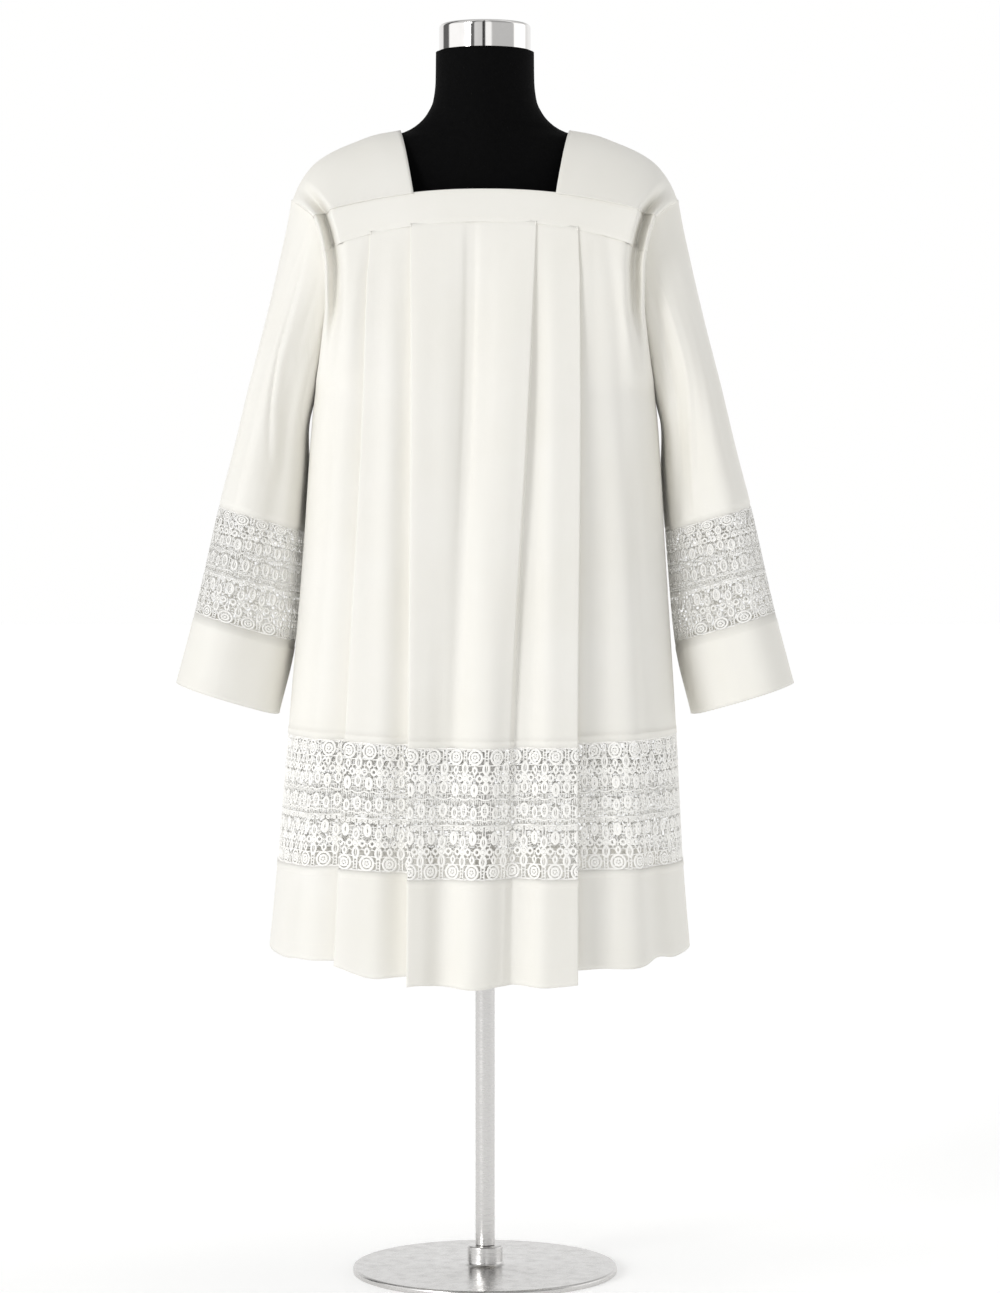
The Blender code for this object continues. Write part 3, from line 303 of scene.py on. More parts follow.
LOWER = [r for r in BODY if r.z < UNDERARM_Z]
edge_side = smooth([r.z for r in LOWER + ARMHOLE], [r.side for r in LOWER + ARMHOLE])
edge_depth = smooth([HEM_Z] + [r.z for r in ARMHOLE], [0.0] + [r.depth for r in ARMHOLE])
body_shift = smooth([r.z for r in BODY], [r.shift for r in BODY])
body_square = smooth([r.z for r in BODY], [r.square for r in BODY])
body_bulge = {
    FRONT: smooth([r.z for r in BODY], [r.front for r in BODY]),
    BACK: smooth([r.z for r in BODY], [r.back for r in BODY]),
}
trough_depth = {
    FRONT: smooth(TROUGH_HEIGHTS, TROUGH_FRONT),
    BACK: smooth(TROUGH_HEIGHTS, TROUGH_BACK),
}
seam_drop = {
    FRONT: smooth((HEM_Z, UNDERARM_Z, FRONT_SEAM_Z, FRONT_NECK_Z), (0.0, 0.0, 0.035, 0.0315)),
    BACK: smooth((HEM_Z, UNDERARM_Z, BACK_SEAM_Z, BACK_NECK_Z), (0.0, 0.0, 0.060, 0.0615)),
}
seam_rise = smooth((HEM_Z, LACE_BOTTOM_Z, LACE_TOP_Z, UNDERARM_Z), (0.026, 0.008, 0.009, 0.0))


def row_z(face, reach, mid_z):
    """Height of a row at a sideways reach, from its height in the middle."""
    return mid_z - seam_drop[face](mid_z) * reach ** 2.2 + seam_rise(mid_z) * reach ** 2


def oval_turn(z, x):
    reach = np.clip((x - body_shift(z)) / edge_side(z), -1.0, 1.0)
    return np.sign(reach) * np.arcsin(np.abs(reach) ** (body_square(z) / 2.0)) * 2.0 / math.pi


def oval_point(face, turn, z):
    power = 2.0 / body_square(z)
    angle = np.clip(turn, -1.0, 1.0) * math.pi / 2.0
    reach = np.sign(angle) * np.abs(np.sin(angle)) ** power
    out = body_bulge[face](z) * np.abs(np.cos(angle)) ** power
    out = out + edge_depth(z) * np.abs(reach) ** SEAM_REACH
    return np.stack([body_shift(z) + edge_side(z) * reach, face * out, z + 0.0 * reach], axis=-1)


def oval_normal(face, turn, z):
    along = oval_point(face, turn + 0.02, z) - oval_point(face, turn - 0.02, z)
    normal = np.stack([along[..., 1], -along[..., 0], 0.0 * along[..., 0]], axis=-1) * -face
    return normal / np.linalg.norm(normal, axis=-1, keepdims=True)


def trough_push(face, x, z):
    inset = edge_side(z) - np.abs(x - body_shift(z))
    inner = ease(np.clip((TROUGH_CHEST - inset) / (TROUGH_CHEST - TROUGH_BOTTOM), 0.0, 1.0))
    outer = ease(np.clip(inset / TROUGH_BOTTOM, 0.0, 1.0))
    return trough_depth[face](z) * np.where(inset >= TROUGH_BOTTOM, inner, outer)


def stations(face):
    side = -1 if face == FRONT else 1
    folds = FRONT_FOLDS if face == FRONT else BACK_FOLDS
    start = [("edge", side), ("inset", side * TROUGH_BOTTOM), ("inset", side * TROUGH_CHEST)]
    stop = [("inset", -side * TROUGH_CHEST), ("inset", -side * TROUGH_BOTTOM), ("edge", -side)]
    return start + [("fold", f) for f in folds] + stop


def station_turn(item, z):
    kind, value = item
    if kind == "edge":
        return value + 0.0 * z
    if kind == "inset":
        return oval_turn(z, body_shift(z) + math.copysign(1.0, value) * (edge_side(z) - abs(value)))
    places = (value.x_hem, value.x_lace, value.x_arm, value.x_yoke)
    return oval_turn(z, smooth(FOLD_HEIGHTS, places)(z))


def station_depth(item, z):
    kind, value = item
    if kind != "fold":
        return 0.0 * z
    depths = (value.d_hem, value.d_lace, value.d_arm, value.d_yoke)
    return smooth(FOLD_HEIGHTS, depths)(z)


lift_share = smooth(LIFT_HEIGHTS, LIFT_SHARES)
wave_share = smooth(WAVE_HEIGHTS, WAVE_SHARES)


def crease_height(creases, x, z):
    """Relief of the low creases at x, z."""
    total = 0.0 * x
    for c in creases:
        t = (c.z_high - z) / (c.z_high - c.z_low)
        inside = np.clip(t, 0.0, 1.0)
        fade = np.sin(np.pi * inside) ** 0.6
        line = c.x_high + (c.x_low - c.x_high) * inside
        total = total + c.height * fade * np.exp(-(((x - line) / c.width) ** 2))
    return total


CENTRE = 3 + [fold.name for fold in FRONT_FOLDS].index("centre valley")
recess_depth = smooth((0.90, 1.02, 1.15, 1.29, FRONT_SEAM_Z), (0.0, 0.0016, 0.0032, 0.0030, 0.0008))
RECESS_HALF = 0.0072
RECESS_EDGE = 0.0016


def recess(x, centre, z):
    """The flat narrow recess of the front pleat beside the middle."""
    inside = np.clip((RECESS_HALF + RECESS_EDGE - np.abs(x - centre)) / RECESS_EDGE, 0.0, 1.0)
    return -recess_depth(z) * ease(inside)


def level_grid(face, columns, heights):
    """Points of the pleated body on its level rows. A column counts stations."""
    mid_z = np.asarray(heights, float)[:, None]
    columns = np.asarray(columns, float)
    rows = stations(face)
    turns = np.concatenate([station_turn(item, mid_z) for item in rows], axis=1)
    depths = np.concatenate([station_depth(item, mid_z) for item in rows], axis=1)
    knife = np.array([item[0] == "fold" and item[1].kind == "knife" for item in rows])
    i = np.clip(columns.astype(int), 0, len(rows) - 2)
    f = columns - i
    g = np.where(knife[i], f, ease(f))
    turn = (1.0 - f) * turns[:, i] + f * turns[:, i + 1]
    depth = (1.0 - g) * depths[:, i] + g * depths[:, i + 1]
    reach = np.abs(np.sin(turn * math.pi / 2.0)) ** (2.0 / body_square(mid_z))
    z = row_z(face, reach, mid_z)
    point = oval_point(face, turn, z)
    creases = FRONT_CREASES if face == FRONT else BACK_CREASES
    relief = crease_height(creases, point[..., 0], z) * np.clip((1.0 - reach) * 12.0, 0.0, 1.0)
    if face == FRONT:
        centre = oval_point(face, turns[:, CENTRE : CENTRE + 1], mid_z)[..., 0]
        relief = relief + recess(point[..., 0], centre, z)
    push = trough_push(face, point[..., 0], z)
    point = point + (depth + relief)[..., None] * oval_normal(face, turn, z)
    point[..., 1] -= face * push
    return point


def body_grid(face, columns, heights):
    """Points of the pleated body, rows by columns, each row lifted by the pleats."""
    points = level_grid(face, columns, heights)
    columns = np.asarray(columns, float)
    mid_z = np.asarray(heights, float)[:, None]
    rows = stations(face)
    lifts = np.array([value.lift if kind == "fold" else 0.0 for kind, value in rows])
    knives = [i for i, item in enumerate(rows) if item[0] == "fold" and item[1].kind == "knife"]
    pleats = np.array(sorted({0, len(rows) - 1} | set(knives) | {i + 1 for i in knives}))
    xs = level_grid(face, pleats, heights)[..., 0]
    k = np.clip(np.searchsorted(pleats, columns, side="right"), 1, len(pleats) - 1)
    way = np.clip((points[..., 0] - xs[:, k - 1]) / (xs[:, k] - xs[:, k - 1]), 0.0, 1.0)
    straight = (1.0 - way) * lifts[pleats[k - 1]] + way * lifts[pleats[k]]
    i = np.clip(columns.astype(int), 0, len(rows) - 2)
    g = ease(columns - i)
    waving = (1.0 - g) * lifts[i] + g * lifts[i + 1]
    points[..., 2] += straight * lift_share(mid_z) + (waving - straight) * wave_share(mid_z)
    return points


def spread_columns(face, middle_z, coarse, fine):
    """Columns of a body piece: close together at the pleats' lips, wider elsewhere."""
    rows = stations(face)
    last = len(rows) - 1
    samples = np.linspace(0.0, last, 400 * last + 1)
    path = body_grid(face, samples, [middle_z])[0]
    walked = np.concatenate([[0.0], np.cumsum(np.linalg.norm(np.diff(path, axis=0), axis=1))])
    need = np.full(len(samples), 1.0 / coarse)
    for i, item in enumerate(rows):
        if item[0] == "fold" and item[1].kind == "knife":
            low, high = np.interp([i, i + 1], samples, walked)
            away = np.maximum(np.maximum(low - walked, walked - high), 0.0)
            need = np.maximum(need, 1.0 / (fine + (coarse - fine) * np.clip(away / 0.009, 0.0, 1.0)))
    if face == FRONT and middle_z > LACE_TOP_Z:
        centre = np.interp(CENTRE, samples, walked)
        away = np.maximum(np.abs(walked - centre) - RECESS_HALF - 0.003, 0.0)
        beside = fine * 1.3
        need = np.maximum(need, 1.0 / (beside + (coarse - beside) * np.clip(away / 0.004, 0.0, 1.0)))
    step = np.concatenate([[0.0], np.cumsum((need[1:] + need[:-1]) / 2.0 * np.diff(walked))])
    count = int(round(step[-1]))
    return np.interp(np.linspace(0.0, step[-1], count + 1), step, samples)


def rounded(points, passes=3):
    """Rounds the lips of the pleats a little, along the rows."""
    for _ in range(passes):
        middle = (points[:, :-2] + 2.0 * points[:, 1:-1] + points[:, 2:]) / 4.0
        points = np.concatenate([points[:, :1], middle, points[:, -1:]], axis=1)
    return points


def grid_normals(points, outward):
    """Unit normals of a grid; outward is 1 or -1."""
    down = np.gradient(points, axis=0)
    along = np.gradient(points, axis=1)
    normal = np.cross(along, down) * outward
    return normal / np.maximum(np.linalg.norm(normal, axis=-1, keepdims=True), 1e-12)


def smooth_grid(face, turns, heights):
    """Points of the unpleated yoke, rows by turns."""
    mid_z = np.asarray(heights, float)[:, None]
    turn = np.asarray(turns, float)[None, :]
    reach = np.abs(np.sin(turn * math.pi / 2.0)) ** (2.0 / body_square(mid_z))
    z = row_z(face, reach, mid_z)
    point = oval_point(face, turn + 0.0 * z, z)
    point[..., 1] -= face * trough_push(face, point[..., 0], z)
    return point


def ridge_points(v):
    sides, heights = [r.side for r in SHOULDER], [r.z for r in SHOULDER]
    steps = np.hypot(np.diff(sides), np.diff(heights))
    walked = np.concatenate([[0.0], np.cumsum(steps)]) / steps.sum()
    v = np.asarray(v, float)
    return np.stack([smooth(walked, sides)(v), 0.0 * v, smooth(walked, heights)(v)], axis=-1)


def shoulder_grid(face, turns, ts):
    """Arch from the shoulder's top line (t = 0) down to the band's upper edge (t = 1)."""
    top_z = FRONT_NECK_Z if face == FRONT else BACK_NECK_Z
    turns = np.asarray(turns, float)
    foot = smooth_grid(face, turns, [top_z])[0]
    plain = oval_point(face, turns, foot[:, 2])
    level = np.full(len(turns), YOKE_Z)
    inner = oval_point(FRONT, oval_turn(np.array([YOKE_Z]), np.array([NECK_X])), np.array([YOKE_Z]))[0, 0]
    outer = oval_point(FRONT, np.array([1.0]), np.array([YOKE_Z]))[0, 0]
    top = ridge_points((oval_point(FRONT, turns, level)[:, 0] - inner) / (outer - inner))
    t = np.asarray(ts, float)[:, None]
    y = t * (plain[:, 1] + (foot[:, 1] - plain[:, 1]) * t)
    x = top[:, 0] + (foot[:, 0] - top[:, 0]) * t ** 1.5
    z = top[:, 2] + (foot[:, 2] - top[:, 2]) * t ** 2.0
    return np.stack([x + 0.0 * y, y, z + 0.0 * y], axis=-1)


def armhole_loop():
    """Seam points of the right armhole, from the top over the front and up the back."""
    ts = np.linspace(0.0, 1.0, 28)
    parts = []
    for face, low, high in ((FRONT, FRONT_SEAM_Z, FRONT_NECK_Z), (BACK, BACK_SEAM_Z, BACK_NECK_Z)):
        arch = shoulder_grid(face, [1.0], ts)[:, 0]
        heights = np.concatenate([np.linspace(high, low, 10)[1:], np.linspace(low, UNDERARM_Z, 60)[1:]])
        side = smooth_grid(face, [1.0], heights)[:, 0]
        parts.append(np.concatenate([arch, side]))
    front, back = parts
    return np.concatenate([front, back[-2:0:-1]]), len(front) - 1


def loop_at(angles):
    """Points of the armhole seam at angles: 0 at the top, 180 at the underarm, by length."""
    loop, bottom = armhole_loop()
    closed = np.vstack([loop, loop[:1]])
    walked = np.concatenate([[0.0], np.cumsum(np.linalg.norm(np.diff(closed, axis=0), axis=1))])
    marks = np.where(
        np.arange(len(closed)) <= bottom,
        walked / walked[bottom] * 180.0,
        180.0 + (walked - walked[bottom]) / (walked[-1] - walked[bottom]) * 180.0,
    )
    return np.stack([np.interp(angles, marks, closed[:, k]) for k in range(3)], axis=-1)


section_curves = [smooth(range(len(SLEEVE)), [row[i] for row in SLEEVE]) for i in range(7)]


def sleeve_grid(hand, angles, places, from_seam=False):
    """Points of a sleeve, rows (places down it) by angles; the left one is mirrored."""
    s = np.asarray(places, float)[:, None]
    angle = np.asarray(angles, float)[None, :]
    cut = Section(*[curve(s) for curve in section_curves])
    a = np.radians(angle)
    power = 2.0 / 2.3
    across = np.sign(np.cos(a)) * np.abs(np.cos(a)) ** power
    depth = np.sign(np.sin(a)) * np.abs(np.sin(a)) ** power
    fold = 0.0 * (s + a)
    for row in SLEEVE_FOLDS:
        size = smooth((0.0, 4.0, SLEEVE_CUFF), (row.d_top, row.d_middle, row.d_cuff))(s)
        fold = fold + size * np.exp(-(((angle - row.angle) / row.width) ** 2)) * np.clip(s, 0.0, 1.0)
    fold = fold + crease_height(SLEEVE_CREASES[hand], angle + 0.0 * s, s + 0.0 * angle)
    mid_x, mid_z = (cut.outer_x + cut.inner_x) / 2.0, (cut.outer_z + cut.inner_z) / 2.0
    half_x, half_z = cut.outer_x - mid_x, cut.outer_z - mid_z
    long = np.hypot(half_x, half_z)
    x = mid_x + half_x * across + half_x / long * np.cos(a) * fold
    z = mid_z + half_z * across + half_z / long * np.cos(a) * fold
    y = -cut.half_depth * depth - np.sin(a) * fold + cut.set_back * (1.0 - np.cos(a)) / 2.0
    oval = np.stack([x, y, z], axis=-1)
    if not from_seam:
        return mirror(oval, hand)
    seam = loop_at(angles)[None, :, :]
    first = SLEEVE[0]
    start = np.array([first.outer_x + first.inner_x, 0.0, first.outer_z + first.inner_z]) / 2.0
    now = np.concatenate([mid_x, 0.0 * mid_x, mid_z], axis=-1)[:, None, :]
    carried = seam + now - start
    blend = cut.blend[..., None]
    return mirror((1.0 - blend) * carried + blend * oval, hand)


# Meshes


def mirror(points, hand):
    return points * np.array([hand, 1.0, 1.0])


def grid_object(name, points, ring=False, flip=False, thick=CLOTH_THICK):
    """Thin cloth through a grid of points, which is its outer face."""
    rows, count = points.shape[:2]
    steps = count if ring else count - 1
    r, c = np.meshgrid(np.arange(rows - 1), np.arange(steps), indexing="ij")
    d = (c + 1) % count
    quads = np.stack([r * count + c, (r + 1) * count + c, (r + 1) * count + d, r * count + d], axis=-1)
    quads = quads.reshape(-1, 4)
    if flip:
        quads = quads[:, ::-1]
    mesh = bpy.data.meshes.new(name)
    mesh.from_pydata(points.reshape(-1, 3).tolist(), [], quads.tolist())
    mid = points[rows // 2]
    along = np.concatenate([[0.0], np.cumsum(np.linalg.norm(np.diff(mid, axis=0), axis=1))])
    side = points[:, count // 2]
    down = np.concatenate([[0.0], np.cumsum(np.linalg.norm(np.diff(side, axis=0), axis=1))])
    around = np.linalg.norm(mid[0] - mid[-1])
    u_of = np.append(along, along[-1] + around)
    cu, cv = np.stack([c, c, c + 1, c + 1], axis=-1), np.stack([r, r + 1, r + 1, r], axis=-1)
    uvs = np.stack([u_of[cu], -down[cv]], axis=-1).reshape(-1, 4, 2)
    if flip:
        uvs = uvs[:, ::-1]
    layer = mesh.uv_layers.new(name="cloth")
    layer.data.foreach_set("uv", uvs.reshape(-1))
    mesh.shade_smooth()
    obj = bpy.data.objects.new(name, mesh)
    bpy.context.scene.collection.objects.link(obj)
    if thick:
        wall = obj.modifiers.new("thickness", "SOLIDIFY")
        wall.thickness = thick
        wall.offset = -1.0
        wall.use_rim = True
    return obj


def mesh_object(name, verts, faces):
    mesh = bpy.data.meshes.new(name)
    mesh.from_pydata(np.asarray(verts).reshape(-1, 3).tolist(), [], [list(f) for f in faces])
    mesh.shade_smooth()
    obj = bpy.data.objects.new(name, mesh)
    bpy.context.scene.collection.objects.link(obj)
    return obj


# Materials


def new_material(name):
    made = bpy.data.materials.new(name)
    made.use_nodes = True
    return made, made.node_tree, made.node_tree.nodes["Principled BSDF"]


def node(tree, kind, **inputs):
    made = tree.nodes.new(kind)
    for key, value in inputs.items():
        made.inputs[key.replace("_", " ")].default_value = value
    return made


def thread_height(tree, coords, size):
    """Plain weave: threads over and under each other, as a height from 0 to 1."""
    link = tree.links.new
    across = node(tree, "ShaderNodeTexWave", Scale=1.0 / (size * 20.0))
    across.bands_direction = "X"
    along = node(tree, "ShaderNodeTexWave", Scale=1.0 / (size * 20.0))
    along.bands_direction = "Y"
    check = node(tree, "ShaderNodeTexChecker", Scale=1.0 / size)
    mix = tree.nodes.new("ShaderNodeMix")
    for n in (across, along, check):
        link(coords, n.inputs["Vector"])
    link(check.outputs["Fac"], mix.inputs["Factor"])
    link(across.outputs["Fac"], mix.inputs["A"])
    link(along.outputs["Fac"], mix.inputs["B"])
    return mix.outputs["Result"]


def cloth_material(name, light, shade, thread, bump):
    made, tree, shader = new_material(name)
    link = tree.links.new
    place = tree.nodes.new("ShaderNodeTexCoord")
    weave = thread_height(tree, place.outputs["UV"], thread)
    cloud = node(tree, "ShaderNodeTexNoise", Scale=7.0, Detail=3.0, Roughness=0.5)
    link(place.outputs["Object"], cloud.inputs["Vector"])
    slub = node(tree, "ShaderNodeTexNoise", Scale=90.0, Detail=2.0, Roughness=0.6)
    stretch = tree.nodes.new("ShaderNodeMapping")
    stretch.inputs["Scale"].default_value = (0.15, 1.0, 1.0)
    link(place.outputs["UV"], stretch.inputs["Vector"])
    link(stretch.outputs["Vector"], slub.inputs["Vector"])
    tone = tree.nodes.new("ShaderNodeMix")
    tone.data_type = "RGBA"
    tone.inputs["A"].default_value = (*shade, 1.0)
    tone.inputs["B"].default_value = (*light, 1.0)
    ramp = node(tree, "ShaderNodeMapRange", From_Min=0.3, From_Max=0.7, To_Min=0.0, To_Max=1.0)
    link(cloud.outputs["Fac"], ramp.inputs["Value"])
    link(ramp.outputs["Result"], tone.inputs["Factor"])
    link(tone.outputs["Result"], shader.inputs["Base Color"])
    rough = node(tree, "ShaderNodeMapRange", From_Min=0.3, From_Max=0.7, To_Min=0.70, To_Max=0.82)
    link(slub.outputs["Fac"], rough.inputs["Value"])
    link(rough.outputs["Result"], shader.inputs["Roughness"])
    fine = node(tree, "ShaderNodeBump", Strength=bump, Distance=0.0001)
    link(weave, fine.inputs["Height"])
    broad = node(tree, "ShaderNodeBump", Strength=0.10, Distance=0.0006)
    link(slub.outputs["Fac"], broad.inputs["Height"])
    link(fine.outputs["Normal"], broad.inputs["Normal"])
    link(broad.outputs["Normal"], shader.inputs["Normal"])
    shader.inputs["Sheen Weight"].default_value = 0.12
    shader.inputs["Sheen Roughness"].default_value = 0.5
    shader.inputs["Specular IOR Level"].default_value = 0.35
    return made


def thread_material(name, light, shade):
    made, tree, shader = new_material(name)
    link = tree.links.new
    place = tree.nodes.new("ShaderNodeTexCoord")
    wrap = node(tree, "ShaderNodeTexNoise", Scale=900.0, Detail=2.0, Roughness=0.6)
    link(place.outputs["Object"], wrap.inputs["Vector"])
    cloud = node(tree, "ShaderNodeTexNoise", Scale=30.0, Detail=2.0)
    link(place.outputs["Object"], cloud.inputs["Vector"])
    tone = tree.nodes.new("ShaderNodeMix")
    tone.data_type = "RGBA"
    tone.inputs["A"].default_value = (*shade, 1.0)
    tone.inputs["B"].default_value = (*light, 1.0)
    link(cloud.outputs["Fac"], tone.inputs["Factor"])
    link(tone.outputs["Result"], shader.inputs["Base Color"])
    bump = node(tree, "ShaderNodeBump", Strength=0.35, Distance=0.0002)
    link(wrap.outputs["Fac"], bump.inputs["Height"])
    link(bump.outputs["Normal"], shader.inputs["Normal"])
    shader.inputs["Roughness"].default_value = 0.62
    shader.inputs["Sheen Weight"].default_value = 0.10
    return made


def jersey_material(name):
    made, tree, shader = new_material(name)
    link = tree.links.new
    place = tree.nodes.new("ShaderNodeTexCoord")
    ribs = thread_height(tree, place.outputs["UV"], 0.0011)
    lint = node(tree, "ShaderNodeTexNoise", Scale=140.0, Detail=3.0)
    link(place.outputs["Object"], lint.inputs["Vector"])
    tone = tree.nodes.new("ShaderNodeMix")
    tone.data_type = "RGBA"
    tone.inputs["A"].default_value = (0.0012, 0.0012, 0.0013, 1.0)
    tone.inputs["B"].default_value = (0.0030, 0.0030, 0.0032, 1.0)
    link(lint.outputs["Fac"], tone.inputs["Factor"])
    link(tone.outputs["Result"], shader.inputs["Base Color"])
    bump = node(tree, "ShaderNodeBump", Strength=0.35, Distance=0.0003)
    link(ribs, bump.inputs["Height"])
    link(bump.outputs["Normal"], shader.inputs["Normal"])
    shader.inputs["Roughness"].default_value = 0.85
    shader.inputs["Specular IOR Level"].default_value = 0.06
    return made


def steel_material(name, light, roughness, streak):
    made, tree, shader = new_material(name)
    link = tree.links.new
    place = tree.nodes.new("ShaderNodeTexCoord")
    brushed = node(tree, "ShaderNodeTexNoise", Scale=60.0, Detail=4.0, Roughness=0.6)
    squash = tree.nodes.new("ShaderNodeMapping")
    squash.inputs["Scale"].default_value = (1.0, 1.0, streak)
    link(place.outputs["Object"], squash.inputs["Vector"])
    link(squash.outputs["Vector"], brushed.inputs["Vector"])
    spread = node(tree, "ShaderNodeMapRange", From_Min=0.3, From_Max=0.7)
    spread.inputs["To Min"].default_value = roughness * 0.7
    spread.inputs["To Max"].default_value = roughness * 1.4
    link(brushed.outputs["Fac"], spread.inputs["Value"])
    link(spread.outputs["Result"], shader.inputs["Roughness"])
    tone = tree.nodes.new("ShaderNodeMix")
    tone.data_type = "RGBA"
    tone.inputs["A"].default_value = (light * 0.90, light * 0.885, light * 0.87, 1.0)
    tone.inputs["B"].default_value = (light, light * 0.985, light * 0.97, 1.0)
    link(brushed.outputs["Fac"], tone.inputs["Factor"])
    link(tone.outputs["Result"], shader.inputs["Base Color"])
    bump = node(tree, "ShaderNodeBump", Strength=0.02, Distance=0.0002)
    link(brushed.outputs["Fac"], bump.inputs["Height"])
    link(bump.outputs["Normal"], shader.inputs["Normal"])
    shader.inputs["Metallic"].default_value = 1.0
    return made


IVORY_CLOTH = cloth_material("ivory_cloth", (0.860, 0.846, 0.802), (0.835, 0.818, 0.762), 0.0006, 0.25)
LACE_THREAD = thread_material("lace_thread", (0.97, 0.962, 0.935), (0.95, 0.938, 0.90))
STITCH_THREAD = thread_material("stitch_thread", (0.92, 0.90, 0.84), (0.86, 0.84, 0.77))
JERSEY = jersey_material("black_jersey")
POLISHED = steel_material("polished_steel", 0.84, 0.06, 1.0)
SATIN = steel_material("satin_steel", 0.66, 0.24, 8.0)


def dress(obj, material, nodes=()):
    obj.data.materials.append(material)
    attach(obj, "root")
    if nodes:
        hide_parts(*nodes)
    return obj


# Cloth pieces

PANEL_FINE, PANEL_COARSE = 0.0011, 0.0046
WELT = 0.0085
WELT_RISE = 0.0005
SEAM_DIP = 0.00045
TUCK = 0.0035


def cloth_piece(name, points, normals, lift, ring=False, flip=False):
    """A piece of cloth with its rows raised by lift; also gives the grid that stitches follow."""
    points = points + normals * lift[:, None, None]
    obj = grid_object(name + "_cloth", points, ring=ring, flip=flip)
    dress(obj, IVORY_CLOTH, [name])
    return obj, points, normals


def panel_rows(top, bottom, count):
    """Row heights with pairs of close rows at the turned welts by both seams."""
    rows = list(np.linspace(top, bottom, count))
    for line in (bottom + WELT, bottom + WELT + 0.0006, top - TUCK - 0.0012, top - TUCK):
        rows.append(line)
    return np.array(sorted(set(rows), reverse=True))


def make_panel(face, name):
    seam = FRONT_SEAM_Z if face == FRONT else BACK_SEAM_Z
    top, bottom = seam + TUCK, LACE_TOP_Z
    heights = panel_rows(top, bottom, 84)
    columns = spread_columns(face, 0.90, PANEL_COARSE, PANEL_FINE)
    points = rounded(body_grid(face, columns, heights))
    normals = grid_normals(points, -1.0)
    lift = np.where(heights < bottom + WELT + 0.0003, WELT_RISE, 0.0)
    lift = lift - SEAM_DIP * ease(np.clip(1.0 - (top - TUCK - heights) / 0.0012, 0.0, 1.0))
    return cloth_piece(name, points, normals, lift)


def make_hem(face, name):
    top, bottom = LACE_BOTTOM_Z - SEAM_GAP / 2.0, HEM_Z
    heights = sorted(
        set(list(np.linspace(top, bottom, 24)) + [top - WELT, top - WELT - 0.0006]), reverse=True
    )
    heights = np.array(heights)
    columns = spread_columns(face, 0.46, PANEL_COARSE, PANEL_FINE)
    points = rounded(body_grid(face, columns, heights))
    normals = grid_normals(points, -1.0)
    lift = np.where(heights > top - WELT - 0.0003, WELT_RISE, 0.0)
    return cloth_piece(name, points, normals, lift)


def make_band(face, name):
    low, high = (FRONT_SEAM_Z, FRONT_NECK_Z) if face == FRONT else (BACK_SEAM_Z, BACK_NECK_Z)
    side = float(edge_side(YOKE_Z))
    places = np.concatenate([np.linspace(0.0, side - 0.045, 40), np.linspace(side - 0.045, side, 36)[1:]])
    turns = oval_turn(np.full(len(places), YOKE_Z), places)
    turns = np.concatenate([-turns[:0:-1], turns])
    if face == BACK:
        turns = -turns
    edges = [high, high - 0.0008, high - 0.0028, low + 0.0028, low + 0.0008, low]
    heights = np.array(sorted(edges + list(np.linspace(high - 0.006, low + 0.006, 8)), reverse=True))
    points = smooth_grid(face, turns, heights)
    normals = grid_normals(points, -1.0)
    inset = np.minimum(high - heights, heights - low)
    lift = 0.0006 * ease(np.clip(inset / 0.0036, 0.0, 1.0)) - 0.0002
    return cloth_piece(name, points, normals, lift)


def make_shoulder(hand, name):
    side = float(edge_side(YOKE_Z))
    places = np.concatenate([np.linspace(NECK_X, side - 0.045, 20), np.linspace(side - 0.045, side, 34)[1:]])
    turns = oval_turn(np.full(len(places), YOKE_Z), places)
    ts = np.concatenate([[1.012, 1.0, 0.988, 0.97], np.linspace(0.94, 0.04, 26)])
    front = shoulder_grid(FRONT, turns, np.append(ts, 0.0))
    back = shoulder_grid(BACK, turns, ts[::-1])
    points = mirror(np.concatenate([front, back]), hand)
    normals = grid_normals(points, -hand)
    ways = np.concatenate([1.0 - np.append(ts, 0.0), 1.0 - ts[::-1]])
    lift = 0.0006 * ease(np.clip((ways + 0.012) / 0.03, 0.0, 1.0)) - 0.0004
    return cloth_piece(name, points, normals, lift, flip=(hand == -1))


def make_sleeve(hand, name):
    angles = np.linspace(0.0, 360.0, 140, endpoint=False)
    places = np.concatenate([[0.004, 0.02, 0.06], np.linspace(0.12, 5.93, 92), [5.935, 5.998]])
    points = sleeve_grid(hand, angles, places, from_seam=True)
    back = points[0] - points[2]
    back /= np.linalg.norm(back, axis=-1, keepdims=True)
    points = np.concatenate([[points[0] + back * TUCK], points])
    places = np.concatenate([[0.0], places])
    normals = ring_normals(points, hand)
    lift = np.where(places > 5.932, WELT_RISE, 0.0) - SEAM_DIP * np.clip(1.0 - places / 0.06, 0.0, 1.0)
    return cloth_piece(name, points, normals, lift, ring=True, flip=(hand == -1))


def ring_normals(points, hand):
    wide = np.concatenate([points[:, -1:], points, points[:, :1]], axis=1)
    down = np.gradient(wide, axis=0)
    along = np.gradient(wide, axis=1)
    normal = np.cross(along, down)[:, 1:-1] * -hand
    return normal / np.maximum(np.linalg.norm(normal, axis=-1, keepdims=True), 1e-12)


def make_cuff(hand, name):
    angles = np.linspace(0.0, 360.0, 168, endpoint=False)
    places = np.concatenate([[7.002, 7.085, 7.09], np.linspace(7.12, SLEEVE_CUFF, 18)])
    points = sleeve_grid(hand, angles, places)
    normals = ring_normals(points, hand)
    lift = np.where(places < 7.087, WELT_RISE, 0.0)
    return cloth_piece(name, points, normals, lift, ring=True, flip=(hand == -1))


# Lace

LACE_REPEAT = 0.0290
LACE_HEIGHT = LACE_TOP_Z - LACE_BOTTOM_Z
THREAD_RISE = 0.00042
